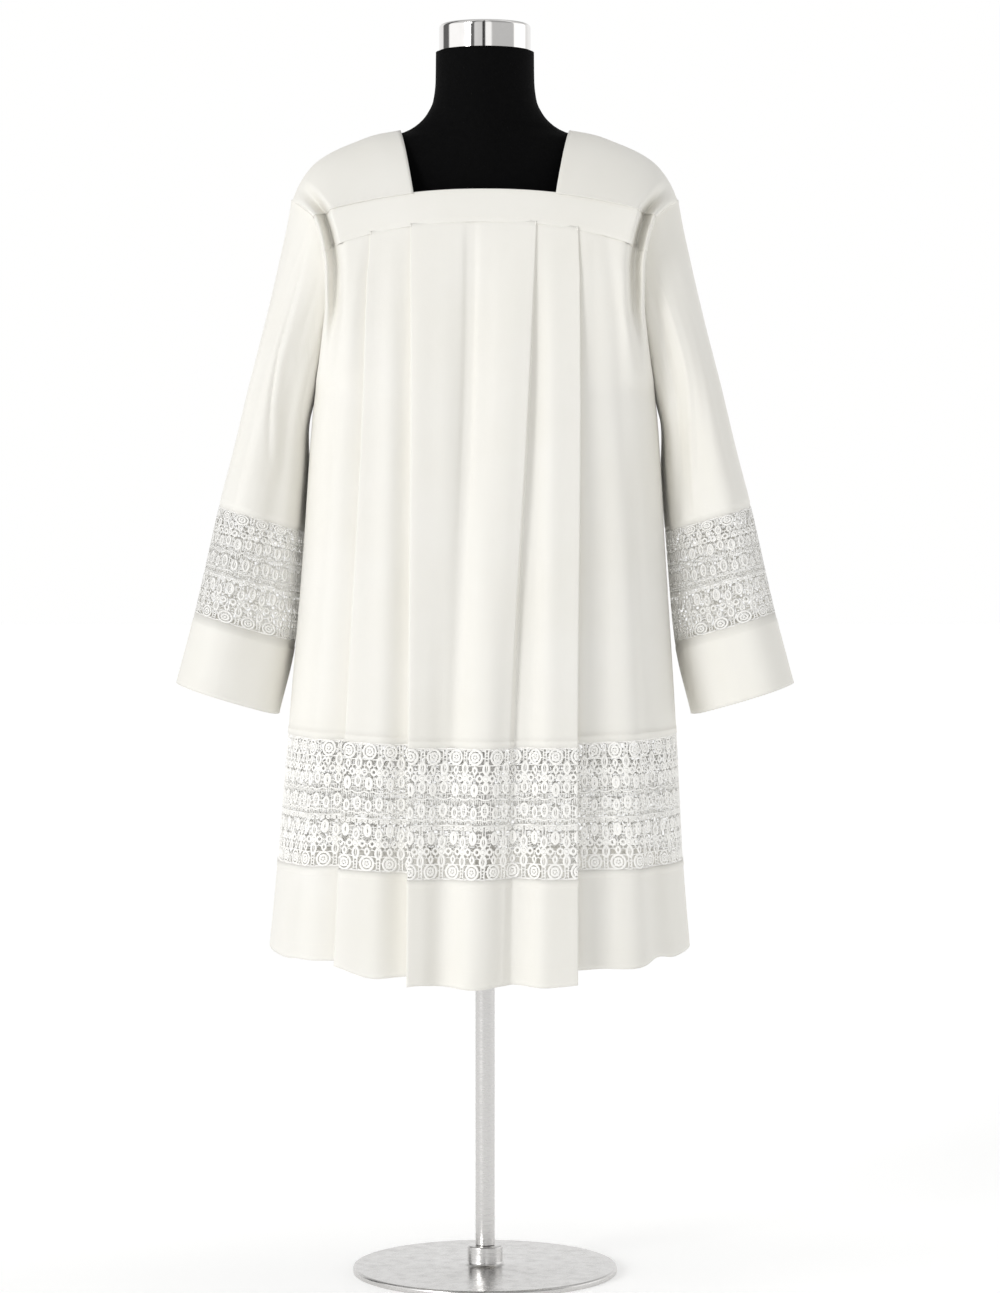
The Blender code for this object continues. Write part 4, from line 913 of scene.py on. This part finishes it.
# How far the lace runs under the welts
LACE_UNDER = 0.0006
CORD_WIDER = 1.42
THIN_CORD = 0.85
ROUND_CORD = ((-1.0, -0.6), (-0.7, 0.6), (0.0, 1.0), (0.7, 0.6), (1.0, -0.6))
RIDGE_CORD = ((-1.0, -0.6), (-0.2, 1.0), (0.6, 0.7), (1.0, -0.6))


class Chart:
    """Strokes of one repeat in millimetres: u from -P/2 to P/2 about a flower, v upwards."""

    def __init__(self):
        self.verts, self.faces = [], []

    def cord(self, path, half, closed=False, rise=1.0):
        """A cord of half-width half along a path of (u, v)."""
        path = np.asarray(path, float)
        half = half * CORD_WIDER
        if closed:
            ahead = np.roll(path, -1, axis=0) - np.roll(path, 1, axis=0)
        else:
            ahead = np.gradient(path, axis=0)
        ahead /= np.maximum(np.linalg.norm(ahead, axis=1, keepdims=True), 1e-9)
        aside = np.stack([-ahead[:, 1], ahead[:, 0]], axis=1)
        base = len(self.verts)
        profile = ROUND_CORD if closed or half > THIN_CORD * CORD_WIDER else RIDGE_CORD
        for p, n in zip(path, aside):
            for a, b in profile:
                self.verts.append((p[0] + n[0] * a * half, p[1] + n[1] * a * half, b * rise))
        k, count = len(profile), len(path)
        for i in range(count if closed else count - 1):
            j = (i + 1) % count
            for m in range(k):
                n = (m + 1) % k
                self.faces.append((base + i * k + m, base + i * k + n, base + j * k + n, base + j * k + m))
        if not closed:
            self.faces.append(tuple(base + m for m in range(k)))
            self.faces.append(tuple(base + (count - 1) * k + m for m in reversed(range(k))))

    def ring(self, u, v, ru, rv, half, sides=14, rise=1.0, point=0.0):
        """An oval ring; point draws its ends to tips."""
        a = np.linspace(0.0, 2.0 * math.pi, sides, endpoint=False) + math.pi / 2.0
        waist = 1.0 - point * np.abs(np.sin(a)) ** 3
        self.cord(np.stack([u + ru * np.cos(a) * waist, v + rv * np.sin(a)], axis=1), half, True, rise)

    def line(self, points, half, rise=0.8):
        self.cord(points, half, False, rise)

    def knot(self, u, v, radius, sides=7, rise=1.25):
        """A small raised dot."""
        base = len(self.verts)
        for r, h in ((1.0, -0.5), (0.9, 0.45), (0.45, 1.0)):
            for i in range(sides):
                a = 2.0 * math.pi * i / sides
                self.verts.append((u + radius * r * math.cos(a), v + radius * r * math.sin(a), h * rise))
        for level in (0, 1):
            for i in range(sides):
                j = (i + 1) % sides
                lo, hi = base + level * sides, base + (level + 1) * sides
                self.faces.append((lo + i, lo + j, hi + j, hi + i))
        self.faces.append(tuple(base + 2 * sides + i for i in range(sides)))
        self.faces.append(tuple(base + i for i in reversed(range(sides))))

    def petal(self, u, v, half_u, half_v, cord=1.25, tip=0.35):
        self.ring(u, v, half_u - cord * 0.5, half_v - cord * 0.5, cord, 11, 1.0, tip)


def chart_lace():
    """The repeat: rings and H-bars at both edges, two flower rows, a chain and a bar between."""
    c = Chart()
    p = LACE_REPEAT * 1000.0
    b = p / 2.0
    high = LACE_HEIGHT * 1000.0
    for v in (0.9, high - 0.9):
        c.line([(-b, v), (0.0, v), (b, v)], 0.95, 0.9)
    # ring row and H-bar row at each edge
    for v, way in ((10.2, 1.0), (high - 11.0, -1.0)):
        c.ring(b, v, 8.4, 8.7, 1.15, 18)
        c.ring(b, v, 4.4, 4.6, 1.2, 10)
        c.knot(b, v, 2.0)
        for a in (0, 72, 144, 216, 288):
            du, dv = math.cos(math.radians(a + 18)), math.sin(math.radians(a + 18))
            c.line([(b + 1.6 * du, v + 1.6 * dv), (b + 3.6 * du, v + 3.8 * dv)], 0.6, 0.7)
        for a in (45, 135, 225, 315):
            du, dv = math.cos(math.radians(a)), math.sin(math.radians(a))
            c.line([(b + 5.0 * du, v + 5.2 * dv), (b + 7.9 * du, v + 8.1 * dv)], 0.55, 0.6)
        for u in (-1.9, 1.9):
            c.line([(u * 1.35, v - 9.0 * way), (u, v - 4.5 * way), (u * 1.2, v + 7.6 * way)], 0.75, 0.8)
        for dv in (-5.6, -1.9, 1.9, 5.4):
            c.line([(-2.0, v + dv), (2.0, v + dv)], 0.6, 0.6)
        for u in (-1.0, 1.0):
            c.line([(u * 2.2, v + way), (u * 6.1, v + way)], 0.6, 0.5)
            c.line([(u * 2.6, v - 7.6 * way), (u * 8.6, v - 8.6 * way)], 0.6, 0.5)
    # two rows of four-petalled flowers with side rings, leaves between them
    for v, way in ((34.6, -1.0), (high - 36.4, 1.0)):
        c.petal(0.0, v + 11.6 * way, 4.3, 7.4)
        c.petal(0.0, v - 11.4 * way, 4.2, 7.0)
        c.line([(0.0, v + 6.4 * way), (0.0, v + 16.5 * way)], 0.55, 0.7)
        c.line([(0.0, v - 6.4 * way), (0.0, v - 15.8 * way)], 0.55, 0.7)
        c.knot(0.0, v, 2.6, 9)
        c.ring(0.0, v, 3.6, 4.0, 0.9, 8, 0.8)
        for u in (-1.0, 1.0):
            c.ring(u * 8.2, v, 3.5, 3.6, 1.15, 8)
            c.line([(u * 4.0, v), (u * 5.2, v)], 1.0, 0.8)
            c.line([(u * 11.4, v), (b * u, v)], 0.8, 0.7)
            spray = [(u * 3.2, v + 16.0 * way), (u * 7.8, v + 15.4 * way), (b * u, v + 15.8 * way)]
            c.line(spray, 0.65, 0.6)
            c.line([(u * 4.2, v + 8.6 * way), (u * 8.0, v + 7.4 * way), (u * 11.6, v + 8.8 * way)], 0.6, 0.6)
            c.line([(u * 8.2, v + 3.4 * way), (u * 8.2, v + 7.2 * way)], 0.6, 0.6)
            c.line([(u * 3.6, v - 8.0 * way), (u * 7.6, v - 6.6 * way)], 0.6, 0.6)
            c.line([(u * 8.2, v - 3.4 * way), (u * 7.8, v - 7.0 * way), (u * 9.8, v - 9.0 * way)], 0.6, 0.6)
        c.petal(b, v + 9.6 * way, 3.1, 4.6, 1.1, 0.5)
        c.line([(b, v + 13.6 * way), (b, v + 17.0 * way)], 0.7, 0.7)
        c.line([(b, v + 5.6 * way), (b, v)], 0.7, 0.7)
    # tall ovals between the flower rows and the middle
    for v in (50.6, high - 50.4):
        c.petal(b, v, 4.7, 7.6, 1.3, 0.2)
        c.ring(b, v, 1.9, 4.2, 0.75, 8, 0.8)
        for u in (-1.0, 1.0):
            c.line([(u * 4.0, v - 1.5), (u * 7.0, v), (u * 10.2, v + 0.5)], 0.6, 0.6)
            c.line([(u * 3.2, v - 5.0), (u * 7.0, v - 5.4), (u * 10.6, v - 4.4)], 0.55, 0.6)
            c.line([(u * 3.2, v + 4.6), (u * 7.0, v + 5.0), (u * 10.6, v + 4.2)], 0.55, 0.6)
            c.line([(u * 7.0, v - 6.0), (u * 7.0, v + 6.0)], 0.5, 0.6)
    # knotted chain, ladder ovals and the picot bar of the middle
    v = high - 62.0
    links = [(-b, v), (-b * 0.6, v + 1.8), (-b * 0.2, v - 0.4)]
    links += [(b * 0.2, v - 0.4), (b * 0.6, v + 1.8), (b, v)]
    c.line(links, 0.85, 0.65)
    for u in (-12.2, -9.6, -4.8, 4.8, 9.6, 12.2):
        c.line([(u, v - 5.8), (u, v + 1.2)], 0.5, 0.6)
        c.line([(u, v + 1.0), (u * 0.98, v + 5.4)], 0.5, 0.6)
    for u in (-11.6, -7.0, -2.4, 2.4, 7.0, 11.6):
        c.knot(u, v - 2.3, 0.95, 6, 1.0)
    c.petal(0.0, 84.0, 4.7, 7.9, 1.3, 0.2)
    c.line([(0.0, 78.0), (0.0, 90.0)], 0.45, 0.6)
    for dv in (-3.2, 0.0, 3.2):
        c.line([(-3.6, 84.0 + dv), (3.6, 84.0 + dv)], 0.5, 0.6)
    c.petal(b, 81.0, 3.9, 6.9, 1.2, 0.3)
    c.line([(b, 76.0), (b, 86.0)], 0.5, 0.7)
    for u in (-1.0, 1.0):
        c.line([(u * 4.4, 84.0), (u * 7.4, 82.6), (u * 10.8, 82.0)], 0.65, 0.6)
        c.line([(u * 3.4, 78.8), (u * 7.2, 77.4), (u * 11.4, 77.2)], 0.6, 0.6)
        c.line([(u * 3.4, 89.4), (u * 7.2, 88.8), (u * 11.6, 87.0)], 0.6, 0.6)
        c.line([(u * 7.3, 76.6), (u * 7.3, 95.2)], 0.5, 0.6)
        c.line([(u * 4.6, 67.0), (u * 4.6, 76.0)], 0.5, 0.6)
        c.line([(u * 10.4, 67.0), (u * 10.4, 75.8)], 0.5, 0.6)
    c.line([(0.0, 91.4), (0.0, 96.4)], 0.6, 0.7)
    c.line([(b, 87.6), (b, 97.0)], 0.6, 0.7)
    picots = [(-b, 71.0), (-b * 0.75, 72.6), (-b / 2, 73.0), (-b / 4, 72.6), (0.0, 71.0)]
    picots += [(b / 4, 72.6), (b / 2, 73.0), (b * 0.75, 72.6), (b, 71.0)]
    c.line(picots, 0.8, 0.8)
    for u in (-12.0, -7.3, -2.6, 2.6, 7.3, 12.0):
        c.knot(u, 69.9, 1.0, 6, 0.9)
        c.line([(u, 68.6), (u, 72.4)], 0.55, 0.6)
        c.line([(u, 72.6), (u * 0.98, 77.0)], 0.5, 0.6)
    c.line([(0.0, 71.6), (0.0, 76.4)], 0.6, 0.7)
    c.line([(-b, 65.4), (0.0, 65.4), (b, 65.4)], 0.9, 0.65)
    for u in (-12.6, -9.0, -5.4, -1.8, 1.8, 5.4, 9.0, 12.6):
        c.knot(u, 67.9, 0.85, 5, 0.9)
        c.line([(u, 65.4), (u, 62.4)], 0.45, 0.5)
    for u in (-12.6, -10.8, -7.2, -3.6, 3.6, 7.2, 10.8, 12.6):
        c.line([(u, 65.4), (u * 0.97, 59.0)], 0.5, 0.6)
    for u in (-10.9, -3.6, 3.6, 10.9):
        c.ring(u, 62.0, 2.2, 2.0, 0.6, 8, 0.8)
    for u in (-1.0, 1.0):
        c.line([(u * 1.4, 61.2), (u * 2.0, 53.0), (u * 0.6, 51.0)], 0.55, 0.6)
        c.line([(u * 2.2, high - 62.0), (u * 2.2, high - 55.0)], 0.55, 0.6)
    return np.array(c.verts), c.faces


def strip_map(points, normals):
    """Looks up a strip of surface by length along its middle row and place up it (0 to 1)."""
    middle = points[len(points) // 2]
    walked = np.concatenate([[0.0], np.cumsum(np.linalg.norm(np.diff(middle, axis=0), axis=1))])
    rows, count = points.shape[:2]

    def at(u, v, w):
        c = np.interp(u, walked, np.arange(count))
        r = np.clip((1.0 - v), 0.0, 1.0) * (rows - 1)
        c0 = np.clip(c.astype(int), 0, count - 2)
        r0 = np.clip(r.astype(int), 0, rows - 2)
        fc, fr = (c - c0)[:, None], (r - r0)[:, None]

        def blend(grid):
            low = grid[r0, c0] * (1.0 - fc) + grid[r0, c0 + 1] * fc
            high = grid[r0 + 1, c0] * (1.0 - fc) + grid[r0 + 1, c0 + 1] * fc
            return low * (1.0 - fr) + high * fr

        normal = blend(normals)
        normal /= np.maximum(np.linalg.norm(normal, axis=1, keepdims=True), 1e-9)
        return blend(points) + normal * w[:, None]

    return at, walked[-1]


CHART_VERTS, CHART_FACES = chart_lace()


def make_lace(name, points, normals, node_name, flip=False):
    """Repeats of the chart laid along a strip; the ones at its ends are cut to fit."""
    at, length = strip_map(points, normals)
    count = int(round(length / LACE_REPEAT))
    pitch = length / count
    verts, faces = [], []
    scale = pitch / LACE_REPEAT
    base = 0
    for i in range(count):
        u = (i + 0.5) * pitch + CHART_VERTS[:, 0] / 1000.0 * scale
        v = CHART_VERTS[:, 1] / 1000.0 / LACE_HEIGHT
        w = (CHART_VERTS[:, 2] - 1.0) * THREAD_RISE
        # the half motif past each end folds back onto the seam's cord
        u = np.clip(u, 0.0004, length - 0.0004)
        verts.append(at(u, v, w))
        for f in CHART_FACES:
            faces.append([base + k for k in (reversed(f) if flip else f)])
        base += len(CHART_VERTS)
    obj = mesh_object(name, np.concatenate(verts), faces)
    dress(obj, LACE_THREAD, [node_name])
    return obj


# Stitches


class Stitches:
    """Small stitches laid along lines on the cloth, joined into one piece."""

    def __init__(self):
        self.verts, self.faces = [], []

    def run(self, line, normals, long=0.0024, gap=0.0007, half=0.00022, rise=0.00028):
        steps = np.linalg.norm(np.diff(line, axis=0), axis=1)
        walked = np.concatenate([[0.0], np.cumsum(steps)])
        count = int(walked[-1] / (long + gap))
        starts = (np.arange(count) + 0.5) * (walked[-1] / max(count, 1)) - long / 2.0
        for s in starts:
            marks = (s, s + long * 0.25, s + long * 0.75, s + long)
            centre = np.stack([np.interp(marks, walked, line[:, k]) for k in range(3)], axis=1)
            normal = np.stack([np.interp(marks, walked, normals[:, k]) for k in range(3)], axis=1)
            ahead = centre[3] - centre[0]
            ahead /= max(np.linalg.norm(ahead), 1e-9)
            aside = np.cross(normal, ahead) * half
            base = len(self.verts)
            for k in (0, 3):
                self.verts.append(centre[k] + aside[k] - normal[k] * 0.0001)
                self.verts.append(centre[k] - aside[k] - normal[k] * 0.0001)
            self.verts.append(centre[1] + normal[1] * rise)
            self.verts.append(centre[2] + normal[2] * rise)
            a, b, c, d, e, f = range(base, base + 6)
            self.faces += [(a, e, b), (d, f, c), (a, c, f, e), (b, e, f, d)]


# Build

cloth_parts = []
stitches = Stitches()

for face, side in ((FRONT, "front"), (BACK, "back")):
    panel, panel_points, panel_normals = make_panel(face, side + "_panel")
    band, band_points, band_normals = make_band(face, side + "_band")
    hem, hem_points, hem_normals = make_hem(face, "hem_" + side)
    columns = spread_columns(face, 0.60, 0.0030, 0.0010)
    heights = np.linspace(LACE_TOP_Z + LACE_UNDER, LACE_BOTTOM_Z - LACE_UNDER, 30)
    strip = rounded(body_grid(face, columns, heights))
    strip_normals = grid_normals(strip, -1.0)
    lace = make_lace("lace_" + side + "_threads", strip, strip_normals, "lace_" + side)
    cloth_parts += [(side + "_panel", panel), (side + "_band", band)]
    cloth_parts += [("hem_" + side, hem), ("lace_" + side, lace)]
    for points, normals, rows in (
        (panel_points, panel_normals, (-2, -4)),
        (hem_points, hem_normals, (1, 3, -5)),
        (band_points, band_normals, (3, -4)),
    ):
        for row in rows:
            stitches.run(points[row], normals[row])

for hand, side in ((-1, "left"), (1, "right")):
    shoulder, shoulder_points, shoulder_normals = make_shoulder(hand, "shoulder_" + side)
    sleeve, sleeve_points, sleeve_normals = make_sleeve(hand, "sleeve_" + side)
    cuff, cuff_points, cuff_normals = make_cuff(hand, "cuff_" + side)
    cloth_parts += [("shoulder_" + side, shoulder), ("sleeve_" + side, sleeve), ("cuff_" + side, cuff)]
    for face, half, start in ((FRONT, "front", 0.0), (BACK, "back", 180.0)):
        angles = np.linspace(start + 0.2, start + 179.8, 130)
        places = np.linspace(SLEEVE_LACE_TOP - 0.004, SLEEVE_LACE_BOTTOM + 0.004, 26)
        strip = sleeve_grid(hand, angles, places)
        strip_normals = grid_normals(strip, -hand)
        full = f"sleeve_lace_{side}_{half}"
        lace = make_lace(full + "_threads", strip, strip_normals, full, flip=(hand == -1))
        cloth_parts.append((full, lace))
    for points, normals, row in (
        (sleeve_points, sleeve_normals, -2), (sleeve_points, sleeve_normals, -4),
        (cuff_points, cuff_normals, 0), (cuff_points, cuff_normals, 3), (cuff_points, cuff_normals, -4),
    ):
        stitches.run(np.vstack([points[row], points[row][:1]]), np.vstack([normals[row], normals[row][:1]]))
    stitches.run(shoulder_points[:, 1], shoulder_normals[:, 1])
    stitches.run(shoulder_points[:, -2], shoulder_normals[:, -2])

seam_stitches = mesh_object("seam_stitches", stitches.verts, stitches.faces)
dress(seam_stitches, STITCH_THREAD)


def make_form():
    """Covered torso and neck, through the same rings as the solid but finer."""
    zs = [r.z for r in FORM]
    curves = [smooth(zs, [getattr(r, k) for r in FORM]) for k in ("side", "front", "back", "square")]
    heights = [[zs[0]], np.linspace(zs[1], 1.40, 46), np.linspace(1.40, zs[-1], 44)]
    heights = np.unique(np.concatenate(heights))[::-1]
    z = heights[:, None]
    side, front, back, square = (curve(z) for curve in curves)
    a = np.linspace(0.0, 2.0 * math.pi, 112, endpoint=False)[None, :]
    x = side * np.sign(np.cos(a)) * np.abs(np.cos(a)) ** (2.0 / square)
    y = np.sign(np.sin(a)) * np.abs(np.sin(a)) ** (2.0 / square)
    y = y * np.where(y > 0.0, back, front)
    points = np.stack([x, y, z + 0.0 * x], axis=-1)
    obj = grid_object("form_torso_cover", points, ring=True, thick=0.0)
    mesh = obj.data
    count = points.shape[0] * points.shape[1]
    bm = bmesh.new()
    bm.from_mesh(mesh)
    bm.verts.ensure_lookup_table()
    n = points.shape[1]
    bm.faces.new([bm.verts[i] for i in range(n)])
    bm.faces.new([bm.verts[count - n + i] for i in reversed(range(n))])
    bm.to_mesh(mesh)
    bm.free()
    dress(obj, JERSEY, ["form_torso"])
    return obj


def turned(name, profile, sides, material, nodes):
    a = np.linspace(0.0, 2.0 * math.pi, sides, endpoint=False)
    profile = np.array(profile)
    inner = profile[1:-1]
    parts = [np.outer(inner[:, 0], np.cos(a)), np.outer(inner[:, 0], np.sin(a))]
    ring = np.stack(parts + [np.outer(inner[:, 1], np.ones(sides))], axis=-1)
    verts = [tuple(p) for p in ring.reshape(-1, 3)]
    verts += [(0.0, 0.0, profile[0][1]), (0.0, 0.0, profile[-1][1])]
    faces = []
    rows = len(inner)
    for r in range(rows - 1):
        for i in range(sides):
            j = (i + 1) % sides
            faces.append((r * sides + i, (r + 1) * sides + i, (r + 1) * sides + j, r * sides + j))
    for i in range(sides):
        j = (i + 1) % sides
        faces.append((rows * sides, i, j))
        faces.append((rows * sides + 1, (rows - 1) * sides + j, (rows - 1) * sides + i))
    obj = mesh_object(name, verts, faces)
    obj.data.set_sharp_from_angle(angle=math.radians(30.0))
    return dress(obj, material, nodes)


make_form()

CAP_R, CAP_TOP_Z, NECK_TOP_Z = 0.0585, 1.597, 1.5615
arc = [math.radians(a) for a in range(90, -1, -10)]
cap = [(0.0, CAP_TOP_Z)]
cap += [(CAP_R - 0.005 + 0.005 * math.cos(a), CAP_TOP_Z - 0.005 + 0.005 * math.sin(a)) for a in arc]
cap += [(CAP_R, CAP_TOP_Z - 0.0056), (CAP_R, NECK_TOP_Z + 0.0016), (CAP_R - 0.0007, NECK_TOP_Z + 0.0004)]
cap += [(0.0, NECK_TOP_Z + 0.0004)]
turned("neck_cap_polished", cap, 128, POLISHED, ["neck_cap"])

POLE_R, POLE_TOP_Z, POLE_FOOT_Z = 0.0125, 0.7796, 0.0344
pole = [(0.0, POLE_TOP_Z), (POLE_R - 0.0005, POLE_TOP_Z), (POLE_R, 0.779)]
pole += [(POLE_R, 0.0350), (POLE_R - 0.0005, POLE_FOOT_Z), (0.0, POLE_FOOT_Z)]
turned("form_pole_steel", pole, 64, SATIN, ["form_pole"])

BASE_R, BASE_H, COLLAR_TOP_Z = 0.170, 0.008, 0.034
quarter = [math.radians(t) for t in range(15, 91, 15)]
base = [(0.0, COLLAR_TOP_Z), (POLE_R + 0.008, COLLAR_TOP_Z)]
base += [(POLE_R + 0.008 + 0.002 * math.sin(t), 0.032 + 0.002 * math.cos(t)) for t in quarter]
base += [(POLE_R + 0.010, BASE_H + 0.006)]
for t in quarter:
    base.append((POLE_R + 0.016 - 0.006 * math.cos(t), BASE_H + 0.0065 - 0.0055 * math.sin(t)))
base += [(BASE_R - 0.004, BASE_H)]
for t in [0.0] + quarter:
    base.append((BASE_R - 0.003 + 0.003 * math.sin(t), BASE_H - 0.003 + 0.003 * math.cos(t)))
base += [(BASE_R, 0.0005), (BASE_R - 0.0005, 0.0), (0.0, 0.0)]
turned("form_base_steel", base, 160, SATIN, ["form_base"])

# The cut

# Metres and square metres of the cloth that shows
Cut = namedtuple("Cut", "width length area held")

# Floor, light and camera

floor_mesh = bpy.data.meshes.new("floor")
floor_mesh.from_pydata([(-30, -30, 0), (30, -30, 0), (30, 30, 0), (-30, 30, 0)], [], [(0, 1, 2, 3)])
floor = bpy.data.objects.new("floor", floor_mesh)
bpy.context.scene.collection.objects.link(floor)
pale, pale_tree, pale_shader = new_material("floor_pale")
pale_shader.inputs["Base Color"].default_value = (0.985, 0.985, 0.983, 1.0)
pale_shader.inputs["Roughness"].default_value = 0.95
pale_shader.inputs["Specular IOR Level"].default_value = 0.1
pale_shader.inputs["Emission Color"].default_value = (1.0, 1.0, 0.998, 1.0)
pale_shader.inputs["Emission Strength"].default_value = 0.31
floor_mesh.materials.append(pale)

# Brightness of the studio by direction: degrees from the camera's side, positive to +X
STUDIO = [
    (-179.0, 1.0), (-131.0, 1.0), (-126.0, 0.14), (-104.0, 0.14), (-99.0, 1.20), (-48.0, 1.20),
    (-42.0, 0.70), (-36.0, 0.70), (-34.0, 0.12), (-28.0, 0.12), (-25.0, 0.78), (-7.0, 0.70), (-5.5, 0.05),
    (0.5, 0.05), (2.0, 1.15), (15.0, 1.15), (19.0, 0.60), (76.0, 0.60), (81.0, 1.42), (118.0, 1.42),
    (126.0, 0.88), (140.0, 1.0), (179.0, 1.0),
]

world = bpy.data.worlds.new("studio")
bpy.context.scene.world = world
world.use_nodes = True
sky_tree = world.node_tree
sky_place = sky_tree.nodes.new("ShaderNodeTexCoord")
sky_parts = sky_tree.nodes.new("ShaderNodeSeparateXYZ")
sky_ramp = sky_tree.nodes.new("ShaderNodeValToRGB")
sky_tree.links.new(sky_place.outputs["Generated"], sky_parts.inputs["Vector"])
sky_tree.links.new(sky_parts.outputs["Z"], sky_ramp.inputs["Fac"])
# softboxes to both sides of the camera and narrow dark strips between them, by direction
sky_way = sky_tree.nodes.new("ShaderNodeMath")
sky_way.operation = "ARCTAN2"
sky_front = sky_tree.nodes.new("ShaderNodeMath")
sky_front.operation = "MULTIPLY"
sky_front.inputs[1].default_value = -1.0
sky_tree.links.new(sky_parts.outputs["Y"], sky_front.inputs[0])
sky_tree.links.new(sky_parts.outputs["X"], sky_way.inputs[0])
sky_tree.links.new(sky_front.outputs["Value"], sky_way.inputs[1])
sky_turn = node(sky_tree, "ShaderNodeMapRange", From_Min=-math.pi, From_Max=math.pi)
sky_tree.links.new(sky_way.outputs["Value"], sky_turn.inputs["Value"])
sky_boxes = sky_tree.nodes.new("ShaderNodeValToRGB")
sky_tree.links.new(sky_turn.outputs["Result"], sky_boxes.inputs["Fac"])
stops = sky_boxes.color_ramp.elements
for i, (degrees, level) in enumerate(STUDIO):
    place = (degrees + 180.0) / 360.0
    stop = stops[0] if i == 0 else stops[len(stops) - 1] if i == len(STUDIO) - 1 else stops.new(place)
    stop.position = place
    stop.color = (level, level, level * 0.997, 1.0)
sky_mix = sky_tree.nodes.new("ShaderNodeMix")
sky_mix.data_type = "RGBA"
sky_mix.blend_type = "MULTIPLY"
sky_mix.inputs["Factor"].default_value = 1.0
sky_tree.links.new(sky_boxes.outputs["Color"], sky_mix.inputs["A"])
sky_tree.links.new(sky_ramp.outputs["Color"], sky_mix.inputs["B"])
sky_tree.links.new(sky_mix.outputs["Result"], sky_tree.nodes["Background"].inputs["Color"])
sky_ramp.color_ramp.elements[0].position = 0.30
sky_ramp.color_ramp.elements[0].color = (1.0, 1.0, 1.0, 1.0)
sky_ramp.color_ramp.elements[1].position = 0.55
sky_ramp.color_ramp.elements[1].color = (0.55, 0.55, 0.55, 1.0)
sky_tree.nodes["Background"].inputs["Strength"].default_value = 1.0


for name, energy, angle, way in (
    ("key", 1.06, 20.0, (0.66, 0.70, -0.27)),
    ("top", 0.22, 80.0, (0.0, 0.10, -1.0)),
):
    sun_data = bpy.data.lights.new(name, "SUN")
    sun_data.energy = energy
    sun_data.angle = math.radians(angle)
    sun = bpy.data.objects.new(name, sun_data)
    sun.rotation_euler = Vector(way).to_track_quat("-Z", "Y").to_euler()
    bpy.context.scene.collection.objects.link(sun)

scene = bpy.context.scene
scene.view_settings.view_transform = "Standard"

CAMERA_X, CAMERA_FAR, CAMERA_Z, AIM_Z = 0.0192, 4.8, 0.966, 0.8045
# Half the height that the camera sees at the middle of the part
HALF_VIEW = 0.8275
camera_data = bpy.data.cameras.new("camera")
camera_data.sensor_fit = "VERTICAL"
camera_data.angle = 2.0 * math.atan(HALF_VIEW / CAMERA_FAR)
camera = bpy.data.objects.new("camera", camera_data)
camera.location = (CAMERA_X, -CAMERA_FAR, CAMERA_Z)
aim = Vector((CAMERA_X, 0.0, AIM_Z)) - Vector(camera.location)
camera.rotation_euler = aim.to_track_quat("-Z", "Y").to_euler()
scene.collection.objects.link(camera)
scene.camera = camera
